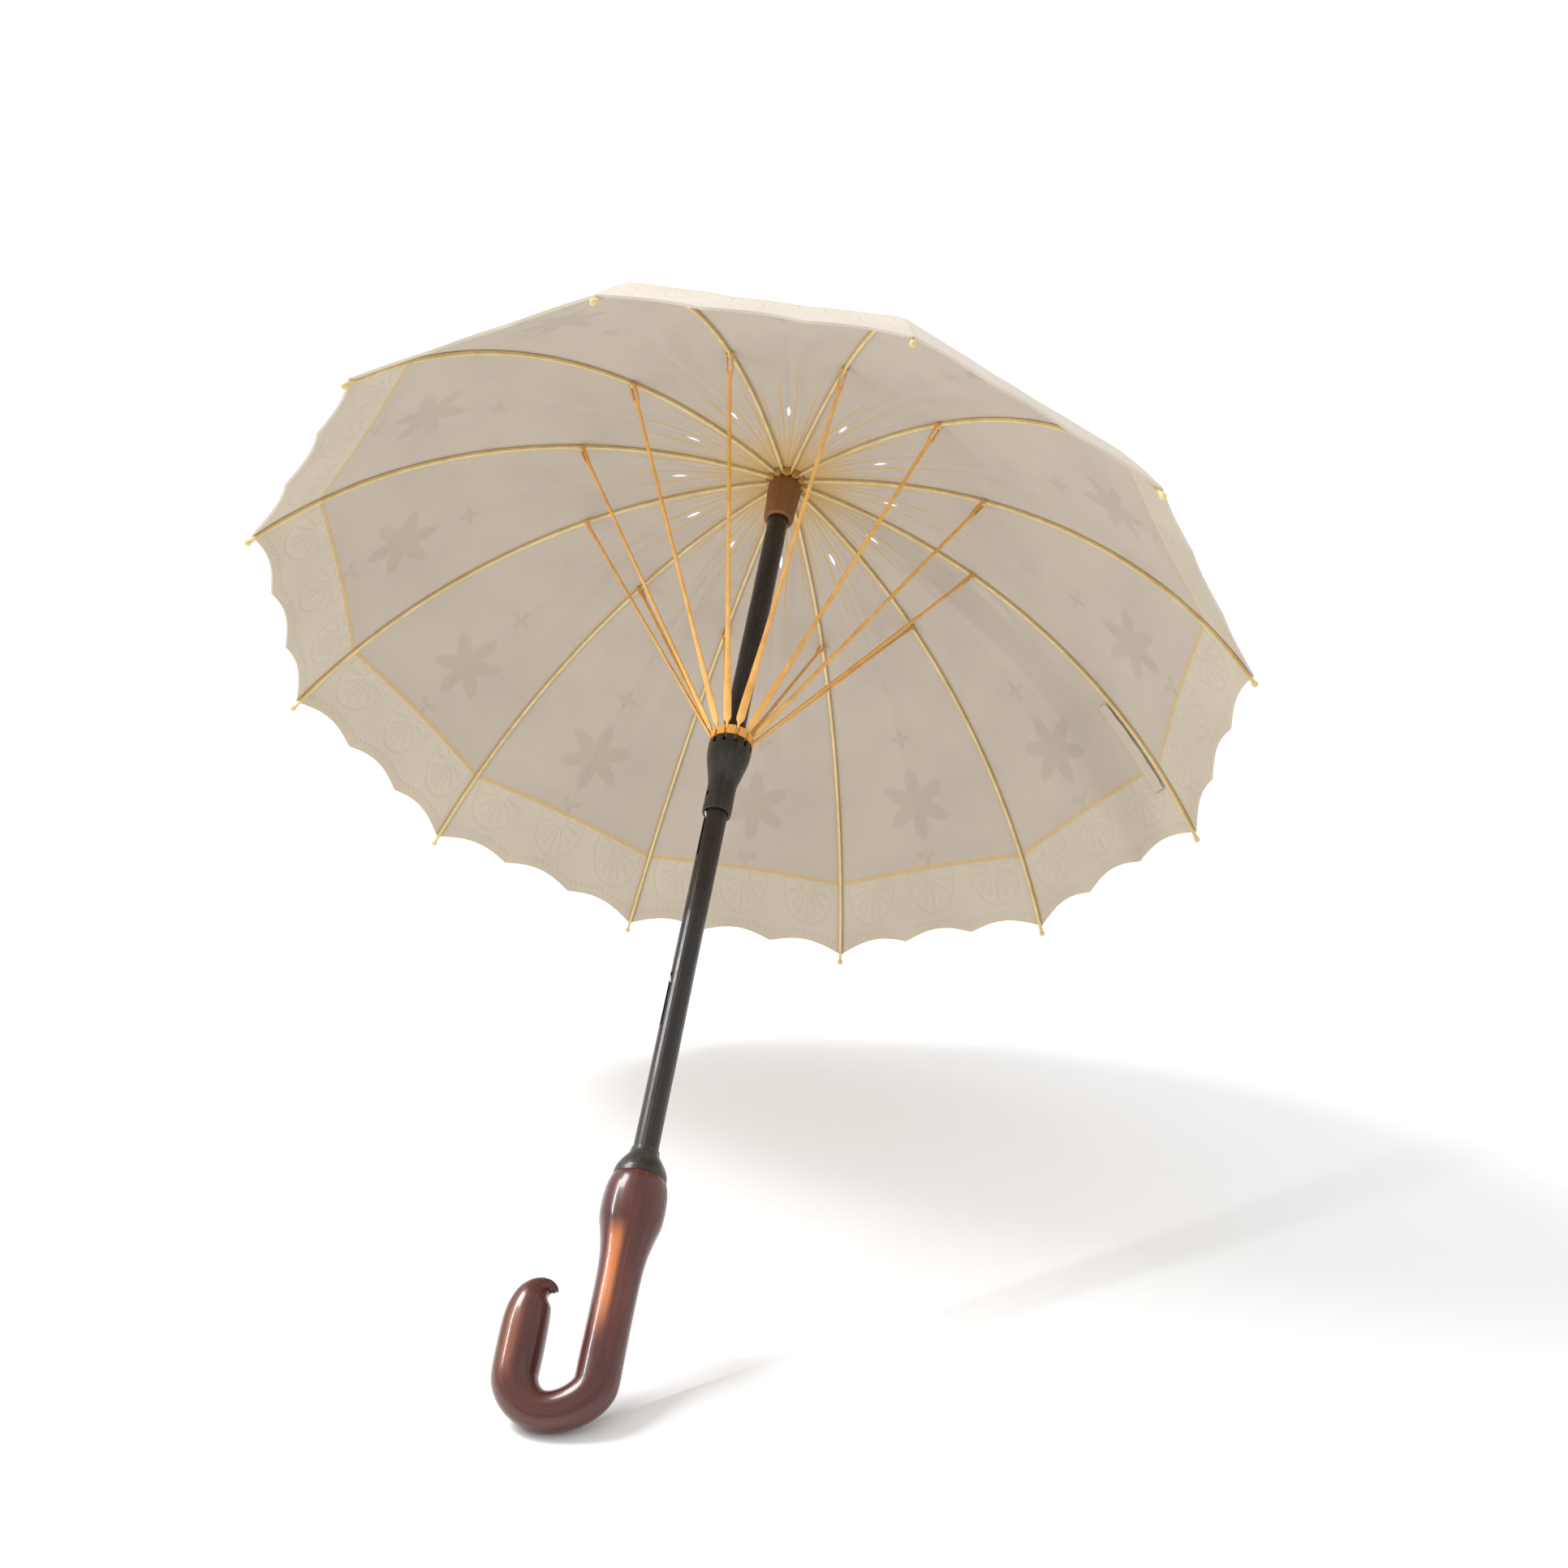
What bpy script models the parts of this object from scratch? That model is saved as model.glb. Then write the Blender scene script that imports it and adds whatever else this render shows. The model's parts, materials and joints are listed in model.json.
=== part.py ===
"""Open lace parasol with a crook handle, as separate named pieces.

Metres, +Z up along the shaft, origin on the shaft axis in the middle of the grip.
Every rib, stretcher and cloth half gore is its own closed body set on its own pivot.
"""
import math

import bmesh
import bpy
from mathutils import Matrix, Vector

# ---- overall sizes -------------------------------------------------------
RIBS = 12                     # ribs, stretchers and canopy gores
RIB_STEP = 2.0 * math.pi / RIBS
RIB_PHASE = math.radians(20)  # azimuth of the first rib
CANOPY_R = 0.360              # shaft axis to rib tip, open
DOME_RISE = 0.2124            # rib pivots above the plane of the rib tips
HEM_Z = 0.460                 # plane of the rib tips above the grip
GAP = 0.0003                  # running and seating clearance

# ---- shaft, hub and runner ----------------------------------------------
SHAFT_R = 0.0080
SHAFT_FOOT_Z = 0.040
PIVOT_Z = HEM_Z + DOME_RISE   # rib pivot height
PIVOT_R = 0.0120              # rib pivot radius
HUB_R = 0.0150
HUB_TOP = 0.0026
SHAFT_TOP_Z = PIVOT_Z + 0.0060
FOOT_R = 0.0128               # stretcher foot radius
FOOT_Z = HEM_Z - 0.0500       # stretcher foot height, open
CROWN_R = 0.0158
RUNNER_LENGTH = 0.0640
RUNNER_TRAVEL = 0.1488        # open to closed
SLOT_WIDTH = 0.0026
TAB_WIDTH = 0.0020
WIRE_R = 0.00045
EYE_R = 0.0022
EYE_HOLE_R = 0.00080
KEYWAY_WIDTH = 0.0036
KEYWAY_DEPTH = 0.0009
CATCH_AZIMUTH = math.radians(215)

# ---- ribs and stretchers --------------------------------------------------
ARC_R = (CANOPY_R ** 2 + DOME_RISE ** 2) / (2.0 * DOME_RISE)
RIB_WIDTH = 0.0024
RIB_HEIGHT = 0.0030
KNEE_R = 0.162                # where each stretcher meets its rib
KNEE_BOSS_R = 0.0023
PIN_R = 0.00065
PIN_HOLE_R = 0.0010
TINE_WIDTH = 0.0010
TINE_LENGTH = 0.0120
BLADE_WIDTH = 0.0054
TIP_BALL_R = 0.0024

# ---- canopy ---------------------------------------------------------------
CLOTH_THICK = 0.0010
CLOTH_GAP = 0.0003
CLOTH_INNER_R = 0.0165
HALF_GORE = RIB_STEP / 2.0
GORE_ROWS = 7
GORE_COLUMNS = 6
HEM_DIP = 0.005               # how much shorter the middle of a gore is than its seams
SCALLOP = 0.009               # depth of the small arcs between the hem points
SCALLOP_STEP = math.radians(10)
CAP_R = 0.0240

# ---- handle ---------------------------------------------------------------
GRIP_R = 0.0134
BULGE_R = 0.0200
BULGE_Z = 0.0500
HANDLE_TOP_Z = 0.0680
COLLAR_TOP_Z = 0.0880
CROOK_Z = -0.0580             # where the grip starts to bend
CROOK_R = 0.0242              # half the spacing of the grip and the hook arm
CROOK_DEPTH = 0.0215
CROOK_LEAN = 0.0060           # how far the bend leans in under the opening


# ---- helpers --------------------------------------------------------------
def clear_scene():
    for obj in list(bpy.data.objects):
        bpy.data.objects.remove(obj, do_unlink=True)


def material(name, colour, rough, metal=0.0):
    mat = bpy.data.materials.new(name)
    mat.use_nodes = True
    shader = mat.node_tree.nodes["Principled BSDF"]
    shader.inputs["Base Color"].default_value = (*colour, 1.0)
    shader.inputs["Roughness"].default_value = rough
    shader.inputs["Metallic"].default_value = metal
    mat.diffuse_color = (*colour, 1.0)
    mat.roughness = rough
    mat.metallic = metal
    return mat


def new_object(name, bm):
    bmesh.ops.recalc_face_normals(bm, faces=bm.faces)
    mesh = bpy.data.meshes.new(name)
    bm.to_mesh(mesh)
    bm.free()
    obj = bpy.data.objects.new(name, mesh)
    bpy.context.scene.collection.objects.link(obj)
    return obj


def lathe(profile, segments, centre_z=0.0):
    """Closed body of revolution about Z from (radius, height) pairs, bottom to top."""
    bm = bmesh.new()
    rings = []
    for radius, height in profile:
        if radius < 1e-6:
            rings.append([bm.verts.new((0.0, 0.0, height + centre_z))])
            continue
        ring = []
        for k in range(segments):
            turn = 2.0 * math.pi * k / segments
            point = (radius * math.cos(turn), radius * math.sin(turn), height + centre_z)
            ring.append(bm.verts.new(point))
        rings.append(ring)
    for lower, upper in zip(rings, rings[1:]):
        bridge(bm, lower, upper)
    for ring in (rings[0], rings[-1]):
        if len(ring) > 1:
            bm.faces.new(ring)
    return bm


def bridge(bm, lower, upper):
    """Join two rings of points; either may be a single point."""
    count = max(len(lower), len(upper))
    for k in range(count):
        nxt = (k + 1) % count
        corners = [lower[k % len(lower)], lower[nxt % len(lower)]]
        corners += [upper[nxt % len(upper)], upper[k % len(upper)]]
        unique = list(dict.fromkeys(corners))
        bm.faces.new(unique)


def ring_body(profile, segments):
    """Closed ring about Z whose section is a closed loop of (radius, height) pairs."""
    bm = bmesh.new()
    rings = []
    for k in range(segments):
        turn = 2.0 * math.pi * k / segments
        row = []
        for radius, height in profile:
            row.append(bm.verts.new((radius * math.cos(turn), radius * math.sin(turn), height)))
        rings.append(row)
    for k in range(segments):
        bridge(bm, rings[k], rings[(k + 1) % segments])
    return bm


def sweep(frames):
    """Closed body through a list of rings of points, capped at both ends."""
    bm = bmesh.new()
    rings = [[bm.verts.new(p) for p in ring] for ring in frames]
    for lower, upper in zip(rings, rings[1:]):
        bridge(bm, lower, upper)
    bm.faces.new(rings[0])
    bm.faces.new(rings[-1])
    return bm


def box(low, high):
    bm = bmesh.new()
    bmesh.ops.create_cube(bm, size=1.0)
    size = Vector(high) - Vector(low)
    middle = (Vector(high) + Vector(low)) / 2.0
    bmesh.ops.scale(bm, vec=size, verts=bm.verts)
    bmesh.ops.translate(bm, vec=middle, verts=bm.verts)
    return bm


def cross_pin(radius, half_width, x, z, sides=8):
    """Cylinder lying along Y, centred on (x, z)."""
    frames = []
    for y in (-half_width, half_width):
        ring = []
        for k in range(sides):
            turn = 2.0 * math.pi * (k + 0.5) / sides
            ring.append((x + radius * math.cos(turn), y, z + radius * math.sin(turn)))
        frames.append(ring)
    return sweep(frames)


def boolean(obj, cutters, operation):
    """Apply exact booleans one after another and drop the helper bodies."""
    for bm in cutters:
        helper = new_object("helper", bm)
        step = obj.modifiers.new("step", "BOOLEAN")
        step.operation = operation
        step.solver = "EXACT"
        step.object = helper
        graph = bpy.context.evaluated_depsgraph_get()
        mesh = bpy.data.meshes.new_from_object(obj.evaluated_get(graph))
        obj.modifiers.clear()
        obj.data = mesh
        bpy.data.objects.remove(helper, do_unlink=True)
    tidy(obj.data)


def tidy(mesh):
    bm = bmesh.new()
    bm.from_mesh(mesh)
    bmesh.ops.remove_doubles(bm, verts=bm.verts, dist=2e-6)
    bmesh.ops.dissolve_degenerate(bm, edges=bm.edges, dist=1e-6)
    bm.to_mesh(mesh)
    bm.free()


def dress(obj, mat):
    obj.data.materials.clear()
    obj.data.materials.append(mat)


def place(obj, location=(0.0, 0.0, 0.0), azimuth=0.0):
    obj.location = location
    obj.rotation_euler = (0.0, 0.0, azimuth)
    return obj


def around(radius, height, azimuth):
    return (radius * math.cos(azimuth), radius * math.sin(azimuth), height)


def fan_cutters(count, low, high):
    """One mesh of boxes spread evenly about Z, each spanning low to high in its own frame."""
    merged = bmesh.new()
    for k in range(count):
        piece = box(low, high)
        turn = RIB_PHASE + 2.0 * math.pi * k / count
        bmesh.ops.rotate(piece, cent=(0, 0, 0), matrix=Matrix.Rotation(turn, 3, "Z"), verts=piece.verts)
        scratch = bpy.data.meshes.new("scratch")
        piece.to_mesh(scratch)
        piece.free()
        merged.from_mesh(scratch)
        bpy.data.meshes.remove(scratch)
    return merged


# ---- the rib curve ---------------------------------------------------------
def arc_drop(radius):
    return ARC_R - math.sqrt(ARC_R ** 2 - radius ** 2)


def rib_point(radius):
    """Rib centre line in the rib's own frame: X out along the rib, Z up, pivot at the origin."""
    return Vector((radius - PIVOT_R, 0.0, arc_drop(PIVOT_R) - arc_drop(radius)))


def rib_normal(radius):
    lean = math.asin(radius / ARC_R)
    return Vector((math.sin(lean), 0.0, math.cos(lean)))


KNEE = rib_point(KNEE_R) - 0.0014 * rib_normal(KNEE_R)
FOOT_FROM_KNEE = Vector((FOOT_R - PIVOT_R - KNEE.x, 0.0, FOOT_Z - PIVOT_Z - KNEE.z))


# ---- handle and shaft --------------------------------------------------------
def crook_points():
    """(x, z, radius) round the bend, up the hook arm and over to its small curled tip."""
    points = []
    for k in range(13):
        turn = math.pi * k / 12.0
        lean = CROOK_LEAN * math.sin(turn) ** 2 * (1.0 + math.cos(turn)) / 2.0
        swell = 0.0017 if k < 6 else 0.0023
        radius = 0.0118 + swell * math.cos(turn) ** 2
        points.append((CROOK_R * (math.cos(turn) - 1.0) - lean, CROOK_Z - CROOK_DEPTH * math.sin(turn), radius))
    points += [(-0.0487, -0.0460, 0.0143), (-0.0490, -0.0340, 0.0142), (-0.0490, -0.0260, 0.0138)]
    points += [(-0.0486, -0.0200, 0.0130), (-0.0476, -0.0145, 0.0116), (-0.0456, -0.0103, 0.0096)]
    points += [(-0.0428, -0.0076, 0.0072), (-0.0396, -0.0066, 0.0049), (-0.0368, -0.0072, 0.0030)]
    points.append((-0.0350, -0.0085, 0.0018))
    return points


def handle_path():
    """(centre, tangent, radius) along the handle, from the top of the grip to the hook tip."""
    straight = [(0.0680, 0.0172), (0.0640, 0.0184), (0.0580, 0.0195), (BULGE_Z, BULGE_R)]
    straight += [(0.0410, 0.0195), (0.0330, 0.0176), (0.0250, 0.0157), (0.0160, 0.0143)]
    straight += [(0.0040, 0.0136), (-0.0120, GRIP_R), (-0.0300, GRIP_R), (-0.0450, 0.0135)]
    points = [(0.0, z, r) for z, r in straight] + crook_points()
    spots = [Vector((x, 0.0, z)) for x, z, _ in points]
    path = []
    for k, (_, _, radius) in enumerate(points):
        tangent = spots[min(k + 1, len(spots) - 1)] - spots[max(k - 1, 0)]
        path.append((spots[k], tangent.normalized(), radius))
    return path


def tube_rings(path, sides):
    rings = []
    for centre, tangent, radius in path:
        across = Vector((0, 1, 0))
        other = tangent.normalized().cross(across)
        ring = []
        for k in range(sides):
            turn = 2.0 * math.pi * k / sides
            ring.append(centre + radius * (math.cos(turn) * across + math.sin(turn) * other))
        rings.append(ring)
    return rings


def make_handle():
    obj = new_object("handle", sweep(tube_rings(handle_path(), 16)))
    bore = lathe([(SHAFT_R + GAP, SHAFT_FOOT_Z - GAP), (SHAFT_R + GAP, HANDLE_TOP_Z + 0.01)], 24)
    boolean(obj, [bore], "DIFFERENCE")
    dress(obj, material("handle_wood", (0.13, 0.055, 0.045), 0.18))


def make_collar():
    low = HANDLE_TOP_Z + GAP
    inner = SHAFT_R + GAP
    profile = [(inner, low), (0.0172, low), (0.0165, low + 0.0040), (0.0147, low + 0.0085)]
    profile += [(0.0118, low + 0.0130), (0.0098, low + 0.0160), (0.0091, COLLAR_TOP_Z), (inner, COLLAR_TOP_Z)]
    obj = new_object("handle_collar", ring_body(profile, 24))
    dress(obj, material("collar_dark", (0.045, 0.045, 0.043), 0.22, 0.3))


def catch_window(nose_z):
    """Slot through the shaft wall that a spring catch lies in."""
    window = box((0.0010, -0.0014, nose_z - 0.0370), (0.0120, 0.0014, nose_z + 0.0032))
    turn = Matrix.Rotation(CATCH_AZIMUTH, 3, "Z")
    bmesh.ops.rotate(window, cent=(0, 0, 0), matrix=turn, verts=window.verts)
    return window


def make_shaft():
    profile = [(0.0, SHAFT_FOOT_Z), (SHAFT_R, SHAFT_FOOT_Z), (SHAFT_R, SHAFT_TOP_Z), (0.0, SHAFT_TOP_Z)]
    obj = new_object("shaft", lathe(profile, 24))
    boolean(obj, [catch_window(OPEN_CATCH_Z), catch_window(CLOSED_CATCH_Z)], "DIFFERENCE")
    dress(obj, material("shaft_black", (0.035, 0.032, 0.030), 0.25, 0.1))


def make_catch(name, nose_z):
    """Flat spring catch: pivots at its foot, its nose stands out under the runner."""
    outline = [(-0.0012, 0.0), (0.0012, 0.0), (0.0016, 0.0280), (0.0040, 0.0340), (0.0040, 0.0346)]
    outline += [(-0.0006, 0.0352), (-0.0012, 0.0280)]
    shift = SHAFT_R - 0.0034
    frames = []
    for y in (-0.0009, 0.0009):
        frames.append([Vector((x, y, z)) for x, z in outline])
    obj = new_object(name, sweep(frames))
    place(obj, around(shift, nose_z - 0.0348, CATCH_AZIMUTH), CATCH_AZIMUTH)
    dress(obj, material(name + "_steel", (0.62, 0.60, 0.56), 0.3, 1.0))


# ---- top hub -------------------------------------------------------------------
def make_notch_cup():
    top = PIVOT_Z - 0.0045
    inner = SHAFT_R + GAP
    profile = [(inner, top - 0.0380), (0.0106, top - 0.0380), (0.0118, top - 0.0350)]
    profile += [(0.0125, top - 0.0200), (0.0134, top - 0.0070), (0.0132, top - 0.0035)]
    profile += [(0.0120, top), (inner, top)]
    obj = new_object("notch_cup", ring_body(profile, 24))
    dress(obj, material("cup_wood", (0.20, 0.085, 0.035), 0.45))


def slotted_ring(name, inner, outer, low, high, pivot_r, wire):
    """Ring with a slot for each rib; the wire crosses every slot at the pivot radius."""
    profile = [(inner, low), (outer, low), (outer, high), (inner, high)]
    bm = ring_body(profile, 24)
    obj = new_object(name, bm)
    slot = SLOT_WIDTH / 2.0
    slots = fan_cutters(RIBS, (pivot_r - EYE_R - GAP, -slot, low - 0.005), (outer + 0.01, slot, high + 0.005))
    boolean(obj, [slots], "DIFFERENCE")
    if wire:
        loop = []
        for k in range(6):
            turn = 2.0 * math.pi * k / 6
            loop.append((pivot_r / math.cos(HALF_GORE / 2.0) + WIRE_R * math.cos(turn), WIRE_R * math.sin(turn)))
        hoop = ring_body(loop, 2 * RIBS)
        turn = Matrix.Rotation(RIB_PHASE + HALF_GORE / 2.0, 3, "Z")
        bmesh.ops.rotate(hoop, cent=(0, 0, 0), matrix=turn, verts=hoop.verts)
        boolean(obj, [hoop], "UNION")
    return obj


def make_hub():
    obj = slotted_ring("rib_hub", SHAFT_R + GAP, HUB_R, -0.0042, HUB_TOP, PIVOT_R, True)
    place(obj, (0, 0, PIVOT_Z))
    dress(obj, material("hub_gold", (0.50, 0.27, 0.07), 0.4, 0.2))


def make_cap():
    low = PIVOT_Z + HUB_TOP + GAP
    inner = SHAFT_R + GAP
    profile = [(inner, low), (CAP_R, low), (CAP_R, low + 0.0008), (CAP_R - 0.004, low + 0.0017)]
    profile += [(0.0150, low + 0.0026), (0.0128, low + 0.0040), (inner, low + 0.0040)]
    obj = new_object("top_cap", ring_body(profile, 24))
    dress(obj, material("cap_cloth", (0.86, 0.80, 0.71), 0.8))


def make_finial():
    low = SHAFT_TOP_Z + 0.0012
    profile = [(0.0112, low), (0.0120, low + 0.0025), (0.0100, low + 0.0060), (0.0066, low + 0.0090)]
    profile += [(0.0056, low + 0.0130), (0.0066, low + 0.0170), (0.0062, low + 0.0240)]
    profile += [(0.0046, low + 0.0360), (0.0036, low + 0.0440), (0.0030, low + 0.0475), (0.0, low + 0.0490)]
    obj = new_object("finial", lathe(profile, 20))
    dress(obj, material("finial_wood", (0.13, 0.055, 0.045), 0.25))


# ---- runner ----------------------------------------------------------------------
def keyway(low, high):
    cut = box((0.0060, -KEYWAY_WIDTH / 2.0, low), (SHAFT_R + GAP + KEYWAY_DEPTH, KEYWAY_WIDTH / 2.0, high))
    bmesh.ops.rotate(cut, cent=(0, 0, 0), matrix=Matrix.Rotation(CATCH_AZIMUTH, 3, "Z"), verts=cut.verts)
    return cut


def make_runner():
    inner = SHAFT_R + GAP
    top = -0.0036
    profile = [(inner, -RUNNER_LENGTH), (0.0098, -RUNNER_LENGTH), (0.0103, -0.0600), (0.0103, -0.0420)]
    profile += [(0.0108, -0.0360), (0.0128, -0.0270), (0.0148, -0.0180), (0.0156, -0.0120), (0.0155, top)]
    profile += [(0.0100, top), (0.0100, 0.0052), (inner, 0.0052)]
    obj = new_object("runner", ring_body(profile, 24))
    slot = SLOT_WIDTH / 2.0
    notches = fan_cutters(RIBS, (0.0105, -slot, top - 0.0062), (0.0200, slot, top + 0.0030))
    window = box((0.0060, -0.0018, -0.0520), (0.0130, 0.0018, -0.0480))
    turn = Matrix.Rotation(CATCH_AZIMUTH, 3, "Z")
    bmesh.ops.rotate(window, cent=(0, 0, 0), matrix=turn, verts=window.verts)
    boolean(obj, [notches, keyway(-0.1, 0.1), window], "DIFFERENCE")
    place(obj, (0, 0, FOOT_Z))
    dress(obj, material("runner_dark", (0.045, 0.043, 0.040), 0.25, 0.2))


def make_crown():
    obj = slotted_ring("runner_crown", 0.0103, CROWN_R, -0.0033, 0.0042, FOOT_R, False)
    place(obj, (0, 0, FOOT_Z))
    dress(obj, material("crown_orange", (0.72, 0.36, 0.10), 0.4))


# ---- ribs and stretchers -----------------------------------------------------------
def row_radius(row, end):
    """Radius of a cloth row; the ribs bend at the same radii, so the gap stays even."""
    return CLOTH_INNER_R + (end - CLOTH_INNER_R) * (row / GORE_ROWS) ** 0.9


def rib_rings():
    radii = [PIVOT_R + 0.0010] + [row_radius(row, CANOPY_R * 1.004) for row in range(GORE_ROWS + 1)]
    radii.append(CANOPY_R + 0.0035)
    rings = []
    for k, radius in enumerate(radii):
        centre = rib_point(radius)
        up = rib_normal(radius)
        half_w = RIB_WIDTH / 2.0
        half_h = RIB_HEIGHT / 2.0
        if k == 0:
            half_w = TAB_WIDTH / 2.0
        corner = 0.6
        ring = []
        for a, b in ((-1, -corner), (-corner, -1), (corner, -1), (1, -corner), (1, 1), (-1, 1)):
            ring.append(centre + Vector((0, a * half_w, 0)) + up * (b * half_h))
        rings.append(ring)
    return rings


def rib_body():
    """Curved rib with its hub eye, knee boss and tip ball, in the rib's own frame."""
    obj = new_object("rib_pattern", sweep(rib_rings()))
    eye = cross_pin(EYE_R, TAB_WIDTH / 2.0, 0.0, 0.0)
    boss = cross_pin(KNEE_BOSS_R, RIB_WIDTH / 2.0, KNEE.x, KNEE.z)
    end = rib_point(CANOPY_R + 0.0045)
    profile = [(0.0, -TIP_BALL_R), (TIP_BALL_R * 0.75, -TIP_BALL_R * 0.66), (TIP_BALL_R, 0.0)]
    profile += [(TIP_BALL_R * 0.75, TIP_BALL_R * 0.66), (0.0, TIP_BALL_R)]
    ball = lathe(profile, 8)
    bmesh.ops.translate(ball, vec=end, verts=ball.verts)
    boolean(obj, [eye, boss, ball], "UNION")
    holes = [cross_pin(EYE_HOLE_R, 0.01, 0.0, 0.0), cross_pin(PIN_HOLE_R, 0.01, KNEE.x, KNEE.z)]
    boolean(obj, holes, "DIFFERENCE")
    return obj


def stretcher_sections(length):
    """(distance from the knee, half width, half height): a blade, widest just above the runner."""
    sections = [(TINE_LENGTH, 0.0020, 0.0018), (TINE_LENGTH + 0.006, 0.0015, 0.0013)]
    sections += [(length * 0.55, 0.0018, 0.0012), (length - 0.045, BLADE_WIDTH / 2.0 - 0.0003, 0.0012)]
    sections += [(length - 0.0095, BLADE_WIDTH / 2.0, 0.0011), (length - 0.0062, 0.0010, 0.0010)]
    sections.append((length, 0.0010, 0.0009))
    return sections


def stretcher_body():
    """Stretcher with a pinned fork at the knee (origin) and a flat eye at its foot."""
    length = FOOT_FROM_KNEE.length
    lean = math.atan2(-FOOT_FROM_KNEE.z, -FOOT_FROM_KNEE.x)
    gap = RIB_WIDTH / 2.0 + GAP
    rod = []
    for distance, half_width, half_height in stretcher_sections(length):
        ring = []
        for k in range(8):
            turn = 2.0 * math.pi * (k + 0.5) / 8
            ring.append((-distance, half_width * math.cos(turn), half_height * math.sin(turn)))
        rod.append(ring)
    obj = new_object("stretcher_pattern", sweep(rod))
    reach = gap + TINE_WIDTH
    adds = [box((-TINE_LENGTH - 0.0015, -reach, -0.0014), (-TINE_LENGTH, reach, 0.0014))]
    for side in (-1, 1):
        low, high = sorted((side * gap, side * reach))
        adds.append(box((-TINE_LENGTH - 0.0010, low, -0.0014), (0.0, high, 0.0014)))
        cheek = cross_pin(0.0020, TINE_WIDTH / 2.0, 0.0, 0.0)
        bmesh.ops.translate(cheek, vec=(0, (low + high) / 2.0, 0), verts=cheek.verts)
        adds.append(cheek)
    adds.append(cross_pin(PIN_R, reach + 0.0004, 0.0, 0.0, 8))
    adds.append(cross_pin(EYE_R * 0.85, TAB_WIDTH / 2.0, -length, 0.0))
    boolean(obj, adds, "UNION")
    boolean(obj, [cross_pin(EYE_HOLE_R, 0.01, -length, 0.0, 8)], "DIFFERENCE")
    obj.data.transform(Matrix.Rotation(-lean, 4, "Y"))
    return obj


def spread(pattern, stem, radius, height, colour, rough):
    """One separate copy of the pattern body at each rib azimuth."""
    for k in range(RIBS):
        name = "%s_%02d" % (stem, k + 1)
        azimuth = RIB_PHASE + k * RIB_STEP
        obj = bpy.data.objects.new(name, pattern.data.copy())
        bpy.context.scene.collection.objects.link(obj)
        place(obj, around(radius, height, azimuth), azimuth)
        dress(obj, material(name + "_wood", colour, rough))
    bpy.data.objects.remove(pattern, do_unlink=True)


# ---- canopy -------------------------------------------------------------------------
def hem_reach(offset):
    """How far down the gore the cloth reaches at an azimuth offset from the rib."""
    middle = (HALF_GORE - offset) / HALF_GORE
    lobe = abs(math.sin(math.pi * offset / SCALLOP_STEP))
    return 1.004 - HEM_DIP * (1.0 - middle * middle) - SCALLOP * lobe


def cloth_point(radius, offset, lift):
    """Point on the taut cloth: straight across from rib to rib, lifted off the ribs."""
    chord = math.cos(HALF_GORE) / math.cos(HALF_GORE - abs(offset))
    up = rib_normal(min(radius, ARC_R * 0.99))
    out = radius * chord + up.x * lift
    height = PIVOT_Z + arc_drop(PIVOT_R) - arc_drop(radius) + up.z * lift
    return Vector((out * math.cos(offset), out * math.sin(offset), height))


def half_gore_body(side):
    """Thin curved cloth body between one rib and the middle of the next gore."""
    under = RIB_HEIGHT / 2.0 + CLOTH_GAP
    seam = GAP / 2.0
    bm = bmesh.new()
    grids = []
    for lift in (under, under + CLOTH_THICK):
        grid = []
        for row in range(GORE_ROWS + 1):
            line = []
            for column in range(GORE_COLUMNS + 1):
                offset = HALF_GORE * column / GORE_COLUMNS
                end = CANOPY_R * hem_reach(offset)
                radius = row_radius(row, end)
                edge = 0.0
                if column == 0:
                    edge = seam / radius
                if column == GORE_COLUMNS:
                    edge = -seam / radius
                point = cloth_point(radius, offset + edge, lift)
                line.append(bm.verts.new((point.x, side * point.y, point.z)))
            grid.append(line)
        grids.append(grid)
    lower, upper = grids
    for row in range(GORE_ROWS):
        for column in range(GORE_COLUMNS):
            for grid in grids:
                a, b = grid[row][column], grid[row][column + 1]
                c, d = grid[row + 1][column + 1], grid[row + 1][column]
                bm.faces.new((a, b, c, d))
    rim = [(0, c) for c in range(GORE_COLUMNS)] + [(r, GORE_COLUMNS) for r in range(GORE_ROWS)]
    rim += [(GORE_ROWS, c) for c in range(GORE_COLUMNS, 0, -1)] + [(r, 0) for r in range(GORE_ROWS, 0, -1)]
    for (r0, c0), (r1, c1) in zip(rim, rim[1:] + rim[:1]):
        bm.faces.new((lower[r0][c0], lower[r1][c1], upper[r1][c1], upper[r0][c0]))
    return bm


def gore_pivot(azimuth):
    return Vector(around(PIVOT_R / math.cos(HALF_GORE / 2.0), PIVOT_Z, azimuth))


def make_gores():
    for k in range(RIBS):
        azimuth = RIB_PHASE + k * RIB_STEP
        for side, letter in ((1, "a"), (-1, "b")):
            name = "gore_%02d_%s" % (k + 1, letter)
            obj = new_object(name, half_gore_body(side))
            pivot = gore_pivot(azimuth + side * HALF_GORE / 2.0)
            spot = Matrix.Translation(pivot) @ Matrix.Rotation(azimuth, 4, "Z")
            obj.data.transform(spot.inverted() @ Matrix.Rotation(azimuth, 4, "Z"))
            place(obj, pivot, azimuth)
            dress(obj, material(name + "_cotton", (0.84, 0.78, 0.69), 0.85))


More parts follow.
